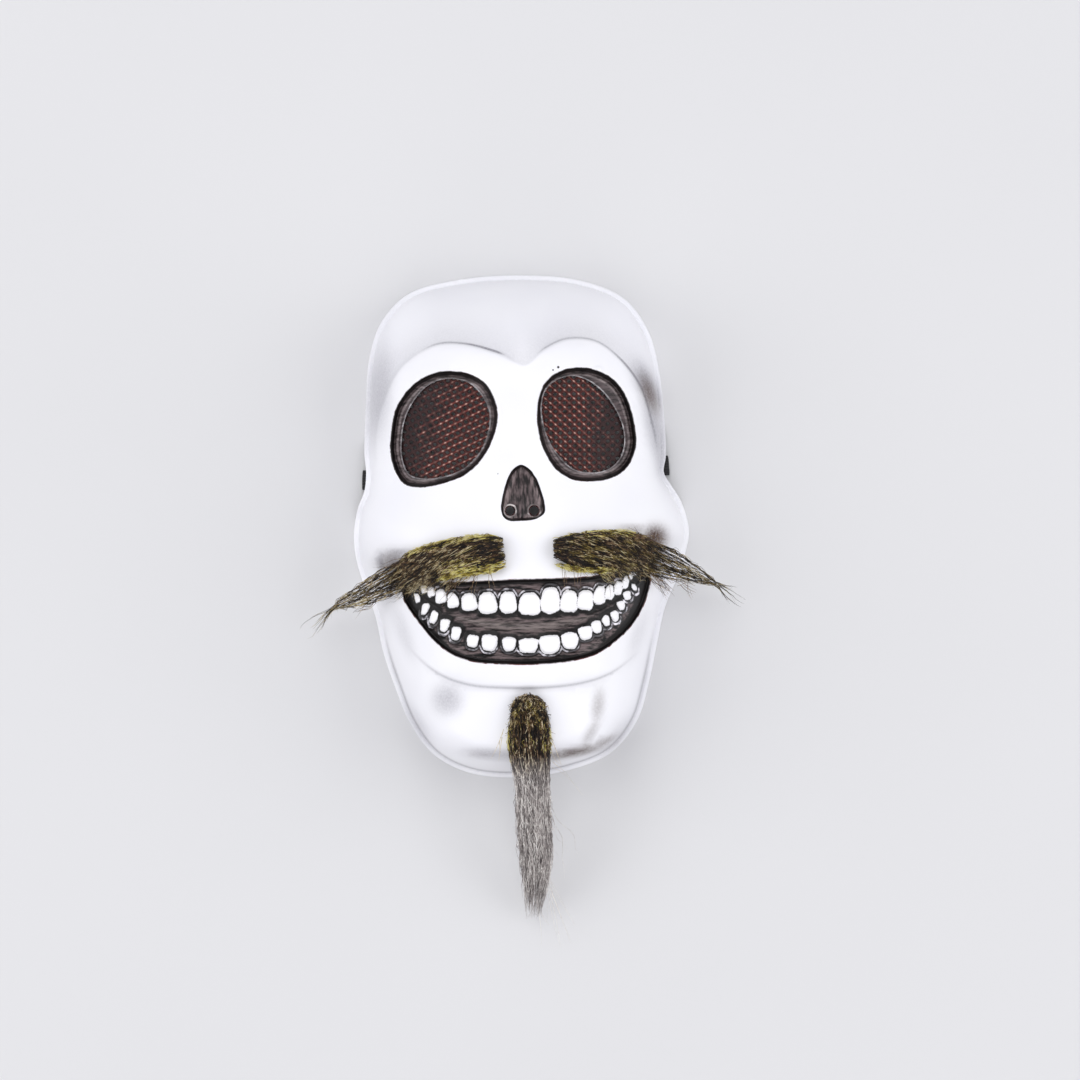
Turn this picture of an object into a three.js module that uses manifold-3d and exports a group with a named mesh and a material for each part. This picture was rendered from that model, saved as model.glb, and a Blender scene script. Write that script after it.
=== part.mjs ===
// Skull costume mask with a hair moustache and goatee, lying face up.
//
// The mask is one thermoformed plastic sheet: a skull face with sunk eye sockets, a sunk nose and a grinning
// mouth with two rows of teeth, all standing on a narrow flat flange. A net panel is glued behind each eye
// hole, three tufts of artificial hair are glued on the front, and an elastic strap joins the two temples.
//
// Units are millimetres. +Z points out of the face, +Y towards the forehead, and left and right are as a
// viewer sees the face. The origin is the centre of the footprint, on the surface that the mask lies on.

import * as THREE from "three";
import { mergeVertices } from "three/addons/utils/BufferGeometryUtils.js";
import Module from "manifold-3d";

const wasm = await Module();
wasm.setup();

// Driving dimensions of the sheet
const SHEET = 0.8;
const FLANGE = 2.5;
const SIDE_ROUNDING = 42;
const CHIN_ROUNDING = 17;
const WALL_POWER = 2.2;
const HALF_BREADTH = 70;
const ARCH_HEIGHT = 5.5;
const ARCH_HALF_LENGTH = 9;
const ARCH_RUN_OUT = 14;

// Levels between which the wall's rounding grows from the chin's to the sides'
const ROUNDING_GROWS = [-76, -8];

// Depths of what is sunk into the face, and heights of what stands on it
const SOCKET_DEPTH = 6;
const SOCKET_WALL = 2.2;
const NOSE_DEPTH = 5;
const NOSE_WALL = 1.6;
const MOUTH_DEPTH = 3.4;
const MOUTH_WALL = 1.5;
const TOOTH_HEIGHT = 3;
const GUM_HEIGHT = 1.8;
const LIP_WIDTH = 12;
const LIP_STEP = 1.8;
const LIP_FADES = [-30, -16];
const BROW_STEP = 2.4;
const BROW_GROWS = [3, 12];
const TEMPLE_STEP = 5;
const TEMPLE_GROWS = [44, 62];
const PLATE_SLOPE = [-2.2, 1.2];

// Outlines seen from the front, as points that a smooth closed curve runs through
const FACE_OUTLINE = [
  [0, 164], [28.5, 161.5], [51, 152.5], [64, 135], [69.5, 113.5], [71.5, 96.5], [72.5, 80],
  [72.5, 71], [71.5, 63.5], [75.5, 56.5], [80.5, 48.5], [84.5, 34], [82.5, 22], [78, 8.5],
  [72.5, -4.5], [68.5, -22], [64.5, -41.5], [58, -63], [44.5, -79.5], [24.5, -88], [-1, -92],
  [-26.5, -90], [-45, -81], [-57.5, -65], [-66, -44.5], [-71.5, -28], [-75.5, -10], [-81.5, 6.5],
  [-85, 18], [-86.5, 31], [-84.5, 44.5], [-81, 53.5], [-80, 62.5], [-81, 74], [-80.5, 96.5],
  [-78.5, 122], [-72.5, 140], [-58.5, 154.5], [-31, 162],
];
const FACE_PLATE = [
  [-77.5, 60], [-74, 83], [-71, 96], [-61, 115.5], [-44, 126], [-30, 126.5], [-11.5, 121.5], [1, 116],
  [11, 124], [22, 129], [36, 128], [47.5, 120], [58.5, 106], [64.5, 87.5], [69, 66], [74, 56],
  [100, 36], [100, -120], [-100, -120], [-100, 50],
];
const SOCKETS = [
  {
    side: "left",
    rim: [
      [-37.5, 113.2], [-26.5, 111.5], [-18.5, 106.5], [-14.2, 98.5], [-12.8, 89.5], [-15.5, 79], [-21, 69],
      [-29, 61.7], [-39, 57.7], [-51, 55.5], [-59, 57], [-63.5, 62.5], [-66.6, 73], [-66, 85],
      [-63.5, 95.5], [-55, 106.5], [-46, 111.7],
    ],
    hole: [
      [-37.5, 109.6], [-28, 108], [-21.2, 102], [-17, 93.2], [-17.3, 83.5], [-21.5, 73.2], [-29, 65.3],
      [-38, 61.2], [-49, 59.8], [-57, 62], [-60.6, 69.5], [-61, 80], [-58.5, 92], [-51, 103.5], [-44.5, 108],
    ],
  },
  {
    side: "right",
    rim: [
      [27.5, 115], [36.5, 113.7], [44.8, 109.5], [50, 103.5], [54, 94.5], [56.2, 84.5], [56.6, 76.5],
      [54.2, 69], [50.5, 64], [43, 59.7], [33.5, 58.5], [24.5, 59.5], [17, 64], [11.5, 72],
      [8.5, 80.5], [7.2, 90.5], [8, 99.5], [11.5, 107.7], [18.5, 113],
    ],
    hole: [
      [24.5, 111], [32.5, 108.7], [40, 103], [46, 95], [49.8, 86.5], [50.8, 78.5], [49, 71],
      [44.5, 65.7], [38, 63], [30.5, 63], [24.5, 65], [16.5, 73], [12, 81], [9.8, 89.5],
      [9.5, 97], [11.7, 104.3], [17, 109],
    ],
  },
];
const NOSE = [
  [-1, 66.5], [3.5, 64], [7, 59], [9.2, 53], [10.8, 47], [10.8, 42.8], [8, 40.2],
  [4, 38.9], [-2, 38.6], [-6, 38.4], [-9.5, 40.3], [-10.9, 44], [-10.3, 50], [-8.5, 57], [-5.5, 63.5],
];
const NOSTRILS = [
  { x: -6.4, y: 43.6, radius: 2.45 },
  { x: 5.6, y: 43.6, radius: 2.55 },
];
const NOSTRIL_BEAD = 0.8;
const MOUTH = [
  [63.6, 12], [61.3, -2], [55.5, -12.5], [47.5, -20.5], [38, -27], [26, -30.7], [8, -32.6], [-9, -32.6],
  [-24, -31.5], [-35, -28], [-44, -21.5], [-53, -11], [-59.8, -1], [-60, 6], [-50, 7.4], [-35, 7.9],
  [-17, 8.6], [0, 9.4], [18, 9.8], [33, 10.6], [45, 12.8], [56, 15.6],
];

// The face's height along its middle, as [y, z], and how far each level falls back at HALF_BREADTH
const MIDLINE = [
  [-92, 56], [-76, 67], [-62, 69.5], [-48, 71], [-35, 75], [-15, 78], [5, 78], [25, 75.5],
  [45, 71.5], [70, 68.5], [90, 69], [105, 70.5], [122, 65.5], [140, 58], [160, 48],
];
const FALL_BACK = [[-92, 14], [-60, 20], [-15, 27], [15, 26], [40, 20], [80, 15], [160, 12]];

// Soft swells and hollows: centre, radius and height
const SWELLS = [
  { x: -73, y: 37, radius: 14, height: 7 },
  { x: 71, y: 37, radius: 14, height: 7 },
  { x: -67, y: 0, radius: 12, height: -3 },
  { x: 65, y: 2, radius: 12, height: -3 },
  { x: 1, y: -69, radius: 24, height: 3 },
  { x: -39, y: -52, radius: 9, height: -1.8 },
  { x: 38, y: -54, radius: 9, height: -1.8 },
  { x: -1, y: 92, radius: 9, height: -1.5 },
];

// Teeth, left to right: the middle, width and length of each. A tooth leans more the further it is from the
// middle of its row.
const UPPER_TEETH = {
  lean: -0.3,
  root: 1,
  places: [
    [-53, 0, 3, 5], [-49.5, 4.5, 3, 4.5], [-46, 3.2, 4, 6], [-41, 1, 5.8, 7.4], [-35, -1, 6, 7.6],
    [-26.8, -1.8, 8, 9], [-17.6, -2.2, 9.2, 11], [-7.4, -2, 8.6, 11], [3.4, -2.8, 11, 11.6],
    [13.6, -1, 9.6, 13.4], [23, -1.4, 8.6, 11.2], [31.2, -0.9, 8.4, 10.2], [38.2, 1.4, 6.4, 9.6],
    [43.2, 2.8, 5.2, 7.6], [47.6, 5, 4.8, 7], [51.4, 8, 3.6, 7.2], [53.8, 11, 2.4, 4.6],
    [56.3, 12.4, 2, 2.6],
  ],
};
const LOWER_TEETH = {
  lean: 0.35,
  root: -1,
  places: [
    [-49, -5.5, 3.6, 6.6], [-44.5, -9.5, 4, 7], [-39.2, -13.6, 4.5, 7], [-33.4, -17.6, 5, 7],
    [-25.1, -21.4, 6, 6.6], [-16.8, -22.2, 7.8, 8.4], [-6.9, -22.8, 6.8, 7.2], [2.6, -23.6, 9.8, 7.6],
    [13.4, -23, 10.4, 9.4], [23.4, -21.2, 8.4, 8.6], [31.2, -17.3, 7, 7], [36.8, -14.5, 5.2, 6.6],
    [41.5, -11.5, 4, 5.6], [46, -9, 4, 5.6], [49.2, -3.8, 4, 5], [52.2, 1.2, 4, 4.8],
    [55.8, 5.1, 2.6, 4.4],
  ],
};
const TOOTH_TAPER = 0.16;
const ROW_REACH = 52;
const MIDDLE_GUM = { middle: -14, rise: 16, power: 2.6, half: 3, narrowing: 0.6, narrowsFrom: 20 };

// Net panels
const NET_LAP = 2.4;
const NET_THICKNESS = 0.6;
const GLUE_GAP = 0.35;

// Tufts: the line each follows, with a height where it hangs clear of the face, and its half widths
const MOUSTACHE_LEFT = {
  spine: [
    [-9, 22.5], [-30, 20.5], [-48, 15.5], [-62, 9, 47], [-79, 2, 33], [-95.5, -7, 19], [-113, -18.5, 8],
  ],
  halfWidths: [9.5, 11.5, 11, 9, 6.5, 4, 1.2],
  thickness: [4.5, 7, 7, 6, 5, 3.5, 1.6],
};
const MOUSTACHE_RIGHT = {
  spine: [[15, 23.5], [32, 24], [50, 24], [65, 19.5, 41], [80.5, 14.5, 28], [96.5, 7.5, 17], [113.2, -3, 8]],
  halfWidths: [7, 10.5, 11, 8.5, 6, 4, 1.2],
  thickness: [4.5, 7, 7, 6, 5, 3.5, 1.6],
};
const GOATEE = {
  spine: [
    [2.5, -47.5], [3, -60], [3.3, -74], [4.5, -91, 58], [5.5, -113, 41], [6.5, -135, 23], [5, -163.9, 4],
  ],
  halfWidths: [5, 10, 10.2, 9.2, 9.6, 7.5, 1.4],
  thickness: [4, 7, 7.5, 8, 7, 5.5, 1.8],
};
const TUFT_ROWS = 15;
const TUFT_LOCKS = 4;
const TUFT_EDGE = 0.8;
const HAIR_GAP = 1.2;

// Elastic strap: a flat band glued inside both temples, slack on the surface inside the mask
const STRAP_WIDTH = 10;
const STRAP_THICKNESS = 1;
const STRAP_ENDS = { left: { x: -75.2, y: 59.5, lean: 0.06 }, right: { x: 67.4, y: 67, lean: -0.12 } };
const STRAP_GLUED = 14;
const STRAP_OUT = 6.4;
const STRAP_LOWEST_Y = 10;
const STRAP_TILT = 1.35;
const STRAP_ROWS = 60;

// The distance between the sheet's points where nothing is carved
const POINT_PITCH = 8.5;

const smooth = (low, high, value) => THREE.MathUtils.smoothstep(value, low, high);

// A closed smooth curve through the points, as evenly spaced points
function loop(points, count) {
  const curve = new THREE.CatmullRomCurve3(points.map(([x, y]) => new THREE.Vector3(x, y, 0)), true);
  return curve.getSpacedPoints(count).slice(0, count).map((p) => new THREE.Vector2(p.x, p.y));
}

// Each point of a closed curve moved outwards; a negative distance moves it inwards
function offset(points, distance) {
  const turn = THREE.ShapeUtils.isClockWise(points) ? 1 : -1;
  return points.map((point, i) => {
    const before = points.at(i - 1);
    const after = points[(i + 1) % points.length];
    const along = after.clone().sub(before).normalize();
    return new THREE.Vector2(point.x - turn * along.y * distance, point.y + turn * along.x * distance);
  });
}

// Distance from a point to a closed curve, positive inside it
function inside(points, x, y) {
  let nearest = Infinity;
  let within = false;
  for (let i = 0, j = points.length - 1; i < points.length; j = i++) {
    const a = points[i];
    const b = points[j];
    const dx = b.x - a.x;
    const dy = b.y - a.y;
    const share = THREE.MathUtils.clamp(((x - a.x) * dx + (y - a.y) * dy) / (dx * dx + dy * dy), 0, 1);
    nearest = Math.min(nearest, Math.hypot(x - a.x - dx * share, y - a.y - dy * share));
    if (a.y > y !== b.y > y && x < a.x + (dx * (y - a.y)) / dy) within = !within;
  }
  return within ? nearest : -nearest;
}

// A smooth curve through [place, value] stations
function along(stations, place) {
  let i = 0;
  while (i < stations.length - 2 && place > stations[i + 1][0]) i++;
  const slope = (k) => (stations[k + 1][1] - stations[k][1]) / (stations[k + 1][0] - stations[k][0]);
  const here = slope(i);
  const startSlope = i > 0 ? (slope(i - 1) + here) / 2 : here;
  const endSlope = i < stations.length - 2 ? (here + slope(i + 1)) / 2 : here;
  const span = stations[i + 1][0] - stations[i][0];
  const t = THREE.MathUtils.clamp((place - stations[i][0]) / span, 0, 1);
  const t2 = t * t;
  const t3 = t2 * t;
  return (
    stations[i][1] * (2 * t3 - 3 * t2 + 1) + stations[i + 1][1] * (3 * t2 - 2 * t3) +
    span * (startSlope * (t3 - 2 * t2 + t) + endSlope * (t3 - t2))
  );
}

// The loops, with as many points as their curves need
const faceLoop = loop(FACE_OUTLINE, 84).flatMap((point, i, all) => {
  const next = all[(i + 1) % all.length];
  const arches = Object.values(STRAP_ENDS);
  const nearArch = arches.some((end) => Math.hypot(point.x - end.x, point.y - end.y) < 30);
  return nearArch ? [point, point.clone().lerp(next, 0.5)] : [point];
});
const wallFoot = offset(faceLoop, -FLANGE);
const plateLoop = loop(FACE_PLATE, 90);
const mouthLoop = loop(MOUTH, 56);
const noseLoop = loop(NOSE, 18);
const sockets = SOCKETS.map(({ side, rim, hole }) => ({ side, rim: loop(rim, 30), hole: loop(hole, 30) }));

// The rim lies flat, apart from an arch at each temple that lets the strap out
function rimHeight(x, y) {
  const centre = x < 0 ? STRAP_ENDS.left.y : STRAP_ENDS.right.y;
  return ARCH_HEIGHT * (1 - smooth(ARCH_HALF_LENGTH, ARCH_HALF_LENGTH + ARCH_RUN_OUT, Math.abs(y - centre)));
}

// The face without anything sunk into it
function faceHeight(x, y) {
  const rim = rimHeight(x, y) + SHEET;
  const fromWall = inside(wallFoot, x, y);
  if (fromWall <= 0) return rim;
  const rounding = THREE.MathUtils.lerp(CHIN_ROUNDING, SIDE_ROUNDING, smooth(...ROUNDING_GROWS, y));
  const rise = Math.sqrt(1 - (1 - Math.min(fromWall / rounding, 1)) ** WALL_POWER);
  let crest = along(MIDLINE, y) - along(FALL_BACK, y) * (x / HALF_BREADTH) ** 2;
  for (const s of SWELLS) {
    crest += s.height * Math.exp(-((x - s.x) ** 2 + (y - s.y) ** 2) / (2 * s.radius ** 2));
  }
  const brow = BROW_STEP * smooth(...BROW_GROWS, Math.abs(x - 1));
  const step = brow + TEMPLE_STEP * smooth(...TEMPLE_GROWS, Math.abs(x));
  crest -= step * (1 - smooth(...PLATE_SLOPE, inside(plateLoop, x, y)));
  const fromMouth = -inside(mouthLoop, x, y);
  crest -= LIP_STEP * smooth(LIP_WIDTH - 1.5, LIP_WIDTH + 1, fromMouth) * (1 - smooth(...LIP_FADES, y));
  return rim + (crest - rim) * rise;
}

// How much further apart two surfaces are when measured upright than when measured square to the face
function steepness(x, y) {
  const reach = 1;
  const slopeX = (faceHeight(x + reach, y) - faceHeight(x - reach, y)) / (2 * reach);
  const slopeY = (faceHeight(x, y + reach) - faceHeight(x, y - reach)) / (2 * reach);
  return Math.min(Math.hypot(1, slopeX, slopeY), 4);
}

const toothRow = ({ lean, root, places }) =>
  places.map(([x, y, width, length]) => ({ x, y, width, length, root, lean: (lean * x) / ROW_REACH }));
const teeth = [...toothRow(UPPER_TEETH), ...toothRow(LOWER_TEETH)];

// How far a point is from a tooth's middle. It is 1 on the outline, a rounded rectangle that narrows towards
// the root.
function toothReach(tooth, x, y) {
  const dx = x - tooth.x;
  const dy = y - tooth.y;
  const across = (dx * Math.cos(tooth.lean) + dy * Math.sin(tooth.lean)) / (tooth.width / 2);
  const up = (dy * Math.cos(tooth.lean) - dx * Math.sin(tooth.lean)) / (tooth.length / 2);
  const narrowed = across / (1 - TOOTH_TAPER * up * tooth.root);
  return (Math.abs(narrowed) ** 3 + Math.abs(up) ** 3) ** (1 / 3);
}

// A ring of points round a tooth, at a share of its size
function toothRing(tooth, share, count) {
  return Array.from({ length: count }, (_, k) => {
    const angle = (2 * Math.PI * (k + 0.5)) / count;
    const [c, s] = [Math.cos(angle), Math.sin(angle)];
    const corner = share * (Math.abs(c) ** 3 + Math.abs(s) ** 3) ** (-1 / 3);
    const up = (corner * s * tooth.length) / 2;
    const across = (corner * c * tooth.width * (1 - TOOTH_TAPER * corner * s * tooth.root)) / 2;
    const [cos, sin] = [Math.cos(tooth.lean), Math.sin(tooth.lean)];
    return new THREE.Vector2(tooth.x + across * cos - up * sin, tooth.y + across * sin + up * cos);
  });
}

// The middle of the gum between the two rows of teeth
const gumLine = (x) => MIDDLE_GUM.middle + MIDDLE_GUM.rise * Math.abs(x / ROW_REACH) ** MIDDLE_GUM.power;

// What the mouth, nose and sockets take away from the face
function sunk(x, y) {
  for (const socket of sockets) {
    const within = inside(socket.rim, x, y);
    if (within > 0) return SOCKET_DEPTH * smooth(0, SOCKET_WALL, within);
  }
  const inNose = inside(noseLoop, x, y);
  if (inNose > 0) {
    const bead = NOSTRILS.map((n) => Math.abs(Math.hypot(x - n.x, y - n.y) - n.radius - NOSTRIL_BEAD / 2));
    const beaded = 1 - smooth(0, NOSTRIL_BEAD, Math.min(...bead));
    return NOSE_DEPTH * smooth(0, NOSE_WALL, inNose) - NOSTRIL_BEAD * beaded;
  }
  const inMouth = inside(mouthLoop, x, y);
  if (inMouth <= 0) return 0;
  const narrowed = MIDDLE_GUM.narrowing * smooth(MIDDLE_GUM.narrowsFrom, ROW_REACH, Math.abs(x));
  const half = MIDDLE_GUM.half * (1 - narrowed);
  let raised = GUM_HEIGHT * (1 - smooth(0, half, Math.abs(y - gumLine(x))));
  for (const tooth of teeth) {
    const reach = toothReach(tooth, x, y);
    if (reach < 1) raised = Math.max(raised, TOOTH_HEIGHT * (1 - reach ** 4) ** 0.5);
  }
  return (MOUTH_DEPTH - raised) * smooth(0, MOUTH_WALL, inMouth);
}

const outerHeight = (x, y) => faceHeight(x, y) - sunk(x, y);

// Delaunay triangles of points in the plane, each added where its triangles' circles hold it
function triangulate(points) {
  const far = 1e4;
  const corners = [[-far, -far], [far, -far], [0, far]].map(([x, y]) => new THREE.Vector2(x, y));
  const all = [...points, ...corners];
  const circled = (a, b, c) => {
    const [p, q, r] = [all[a], all[b], all[c]];
    const twice = 2 * ((q.x - p.x) * (r.y - p.y) - (q.y - p.y) * (r.x - p.x));
    const qq = (q.x - p.x) ** 2 + (q.y - p.y) ** 2;
    const rr = (r.x - p.x) ** 2 + (r.y - p.y) ** 2;
    const ux = ((r.y - p.y) * qq - (q.y - p.y) * rr) / twice;
    const uy = ((q.x - p.x) * rr - (r.x - p.x) * qq) / twice;
    return { corners: [a, b, c], x: p.x + ux, y: p.y + uy, squared: ux * ux + uy * uy };
  };
  const n = points.length;
  let triangles = [circled(n, n + 1, n + 2)];
  points.forEach((point, index) => {
    const edges = new Map();
    const kept = [];
    for (const t of triangles) {
      if ((t.x - point.x) ** 2 + (t.y - point.y) ** 2 >= t.squared) {
        kept.push(t);
        continue;
      }
      for (let k = 0; k < 3; k++) {
        const [a, b] = [t.corners[k], t.corners[(k + 1) % 3]];
        const back = b + "," + a;
        if (edges.has(back)) edges.delete(back);
        else edges.set(a + "," + b, [a, b]);
      }
    }
    for (const [a, b] of edges.values()) kept.push(circled(a, b, index));
    triangles = kept;
  });
  return triangles.map((t) => t.corners).filter((corners) => corners.every((c) => c < n));
}

// The points that the sheet is modelled on: rings beside each edge, rings round each tooth, and a loose net
function sheetPoints() {
  const points = [];
  const add = (ring, clear) => {
    const before = points.length;
    for (const p of ring) {
      const near = points.slice(0, before).some((q) => q.distanceTo(p) < clear);
      if (!near && inside(faceLoop, p.x, p.y) > -0.01) points.push(p);
    }
  };
  const rings = (base, distances, clear) =>
    add(distances.flatMap((d) => (d ? offset(base, d) : base)), clear);
  rings(faceLoop, [0, -FLANGE, -FLANGE - 0.5, -FLANGE - 2.5, -FLANGE - 6.5], 0);
  for (const { rim, hole } of sockets) {
    add([...rim, ...offset(rim, -SOCKET_WALL), ...hole], 0.9);
    rings(rim, [1.5], 2);
  }
  for (const { x, y, radius } of NOSTRILS) {
    const ring = (r) => new THREE.EllipseCurve(x, y, r, r).getSpacedPoints(10).slice(0, 10);
    add([...ring(radius), ...ring(radius + NOSTRIL_BEAD / 2)], 0.3);
  }
  rings(noseLoop, [0, -NOSE_WALL], 0.7);
  rings(mouthLoop, [0, -MOUTH_WALL], 1);
  for (const tooth of teeth) add([...toothRing(tooth, 1, 8), ...toothRing(tooth, 0.72, 4)], 0.5);
  for (let x = -50; x <= 50; x += 5) add([new THREE.Vector2(x, gumLine(x))], 1.5);
  rings(mouthLoop, [3, LIP_WIDTH - 1.5, LIP_WIDTH + 1], 3);
  rings(plateLoop, [-1.2, 2.2], 2.8);
  for (let row = 0, y = -86; y < 158; row++, y += POINT_PITCH * 0.87) {
    for (let x = -84 + (row % 2) * (POINT_PITCH / 2); x < 84; x += POINT_PITCH) {
      add([new THREE.Vector2(x, y)], POINT_PITCH * 0.56);
    }
  }
  // A hair's breadth of scatter keeps four points from lying on one circle.
  const scatter = 1e-3;
  return points.map(({ x, y }, i) =>
    new THREE.Vector2(x + scatter * Math.sin(12.9 * i), y + scatter * Math.sin(78.2 * i)));
}

// The sheet: an outer surface at outerHeight, and an inner one a sheet's thickness behind it
function moulding() {
  const flat = sheetPoints();
  const holes = [
    ...sockets.map((s) => s.hole),
    ...NOSTRILS.map(({ x, y, radius }) =>
      new THREE.EllipseCurve(x, y, radius, radius).getSpacedPoints(10).slice(0, 10)),
  ];
  const faces = triangulate(flat).filter((corners) => {
    const x = corners.reduce((sum, c) => sum + flat[c].x, 0) / 3;
    const y = corners.reduce((sum, c) => sum + flat[c].y, 0) / 3;
    return inside(faceLoop, x, y) > 0 && holes.every((hole) => inside(hole, x, y) < 0);
  });
  const outer = flat.map((p) => new THREE.Vector3(p.x, p.y, outerHeight(p.x, p.y)));
  const normals = outer.map(() => new THREE.Vector3());
  for (const [a, b, c] of faces) {
    const normal = outer[b].clone().sub(outer[a]).cross(outer[c].clone().sub(outer[a])).normalize();
    for (const corner of [a, b, c]) normals[corner].add(normal);
  }
  const inner = outer.map((p, i) => {
    const behind = p.clone().addScaledVector(normals[i].normalize(), -SHEET);
    if (inside(wallFoot, p.x, p.y) > 0.05) return behind;
    const onEdge = inside(faceLoop, p.x, p.y) < 0.05;
    return new THREE.Vector3(onEdge ? p.x : behind.x, onEdge ? p.y : behind.y, rimHeight(p.x, p.y));
  });
  return closed(outer, inner, faces);
}

// One closed mesh from two like surfaces, joined along their open edges
function closed(front, back, faces) {
  const count = front.length;
  const index = [];
  const open = new Map();
  for (const [a, b, c] of faces) {
    index.push(a, b, c, a + count, c + count, b + count);
    for (const [p, q] of [[a, b], [b, c], [c, a]]) {
      if (!open.delete(q + "," + p)) open.set(p + "," + q, [p, q]);
    }
  }
  for (const [p, q] of open.values()) index.push(q, p, p + count, q, p + count, q + count);
  const geometry = new THREE.BufferGeometry().setFromPoints([...front, ...back]);
  geometry.setIndex(index);
  return geometry;
}

// A slab with rows and columns of points on its two faces
function slab(rows, columns, point) {
  const grid = (level) =>
    Array.from({ length: rows * columns }, (_, k) => point(Math.floor(k / columns), k % columns, level));
  const faces = [];
  for (let row = 0; row < rows - 1; row++) {
    for (let column = 0; column < columns - 1; column++) {
      const a = row * columns + column;
      faces.push([a, a + 1, a + columns + 1], [a, a + columns + 1, a + columns]);
    }
  }
  return closed(grid(1), grid(0), faces);
}

// A net panel: a thin sheet behind a socket's ledge, lapping its hole all round
function netPanel({ hole }) {
  const edge = offset(hole, NET_LAP);
  const centre = edge.reduce((sum, p) => sum.add(p), new THREE.Vector2()).divideScalar(edge.length);
  const circles = [0.35, 0.7, 1].flatMap((share) => edge.map((p) => centre.clone().lerp(p, share)));
  const flat = [centre, ...circles];
  const faces = triangulate(flat).filter((corners) => {
    const x = corners.reduce((sum, c) => sum + flat[c].x, 0) / 3;
    const y = corners.reduce((sum, c) => sum + flat[c].y, 0) / 3;
    return inside(edge, x, y) > 0;
  });
  const level = (below) => flat.map((p) => new THREE.Vector3(p.x, p.y, netHeight(p.x, p.y) - below));
  return closed(level(0), level(NET_THICKNESS), faces);
}

// The net's front face: behind the ledge by the sheet and the glue
const netHeight = (x, y) => faceHeight(x, y) - SOCKET_DEPTH - (SHEET + GLUE_GAP) * steepness(x, y);

// A tuft of hair: a bed that follows the face, or hangs clear of it, with grooves between its locks
function tuft({ spine, halfWidths, thickness }) {
  const last = spine.length - 1;
  const route = new THREE.CatmullRomCurve3(
    spine.map(([x, y, z]) => new THREE.Vector3(x, y, z ?? faceHeight(x, y) - 6)),
  );
  const columns = 2 * TUFT_LOCKS + 1;
  return slab(TUFT_ROWS, columns, (row, column, level) => {
    const t = row / (TUFT_ROWS - 1);
    const middle = route.getPoint(t);
    const tangent = route.getTangent(t).setZ(0).normalize();
    const across = (2 * column) / (columns - 1) - 1;
    const half = along(halfWidths.map((w, i) => [i / last, w]), t);
    const x = middle.x - tangent.y * across * half;
    const y = middle.y + tangent.x * across * half;
    const bed = Math.max(faceHeight(x, y) + HAIR_GAP * steepness(x, y), middle.z);
    const groove = column % 2 ? 1 : 0.72;
    const rounded = groove * Math.sqrt(1 - 0.9 * across * across);
    const thick = along(thickness.map((d, i) => [i / last, d]), t) * rounded;
    return new THREE.Vector3(x, y, bed + level * Math.max(thick, TUFT_EDGE));
  });
}

// One end of the strap's middle line: down the temple wall, out under the arch and back on to the surface
function strapEnd({ x, y }, out) {
  const rest = STRAP_THICKNESS / 2;
  return [
    [x - 2.2 * out, y, ARCH_HEIGHT + STRAP_GLUED], [x - 1.1 * out, y, ARCH_HEIGHT + STRAP_GLUED / 2],
    [x - 0.3 * out, y, ARCH_HEIGHT], [x + out, y, ARCH_HEIGHT - 1.8],
    [x + 0.7 * STRAP_OUT * out, y, ARCH_HEIGHT - 2.1], [x + STRAP_OUT * out, y, rest + 1.6],
    [x + 0.8 * STRAP_OUT * out, y, rest], [x, y, rest], [x - 7 * out, y, rest],
  ];
}

// The strap: its slack makes one wide bow towards the chin, standing on its edge behind the nose
function strap() {
  const { left, right } = STRAP_ENDS;
  const bow = [0.12, 0.2, 0.3, 0.4, 0.5, 0.6, 0.7, 0.8, 0.88].map((share) => {
    const drop = Math.sin(Math.PI * share) ** 0.8 * smooth(0, 0.3, Math.min(share, 1 - share));
    const base = THREE.MathUtils.lerp(left.y, right.y, share);
    const x = THREE.MathUtils.lerp(left.x, right.x, share);
    return [x, THREE.MathUtils.lerp(base, STRAP_LOWEST_Y, drop), 0];
  });
  const points = [...strapEnd(left, -1), ...bow, ...strapEnd(right, 1).reverse()];
  const route = new THREE.CatmullRomCurve3(points.map(([x, y, z]) => new THREE.Vector3(x, y, z)));
  return slab(STRAP_ROWS, 3, (row, column, level) => {
    const share = row / (STRAP_ROWS - 1);
    const middle = route.getPoint(share);
    const tangent = route.getTangent(share);
    // The width lies along the temple walls at the ends, and turns on edge where the strap runs on the
    // surface.
    const width = new THREE.Vector3(THREE.MathUtils.lerp(left.lean, right.lean, share), 1, 0);
    width.addScaledVector(tangent, -width.dot(tangent)).normalize();
    const fromEnds = Math.min(middle.x - left.x, right.x - middle.x);
    width.applyAxisAngle(tangent, STRAP_TILT * smooth(10, 36, fromEnds));
    const face = width.clone().cross(tangent).normalize();
    const lowest = (Math.abs(width.z) * STRAP_WIDTH + Math.abs(face.z) * STRAP_THICKNESS) / 2;
    middle.z = Math.max(middle.z, lowest + 0.02);
    return middle
      .addScaledVector(width, (column / 2 - 0.5) * STRAP_WIDTH)
      .addScaledVector(face, (level - 0.5) * STRAP_THICKNESS);
  });
}

// Turns a closed geometry's faces outwards, by way of a solid that also proves it closed
function solid(geometry) {
  geometry.deleteAttribute("normal");
  geometry.deleteAttribute("uv");
  const merged = mergeVertices(geometry);
  const vertProperties = merged.attributes.position.array;
  const faces = new Uint32Array(merged.index.array);
  const shape = (triVerts) =>
    new wasm.Manifold(new wasm.Mesh({ numProp: 3, vertProperties, triVerts }));
  const made = shape(faces);
  if (made.volume() > 0) return made;
  for (let i = 0; i < faces.length; i += 3) [faces[i], faces[i + 1]] = [faces[i + 1], faces[i]];
  return shape(faces);
}

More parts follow.
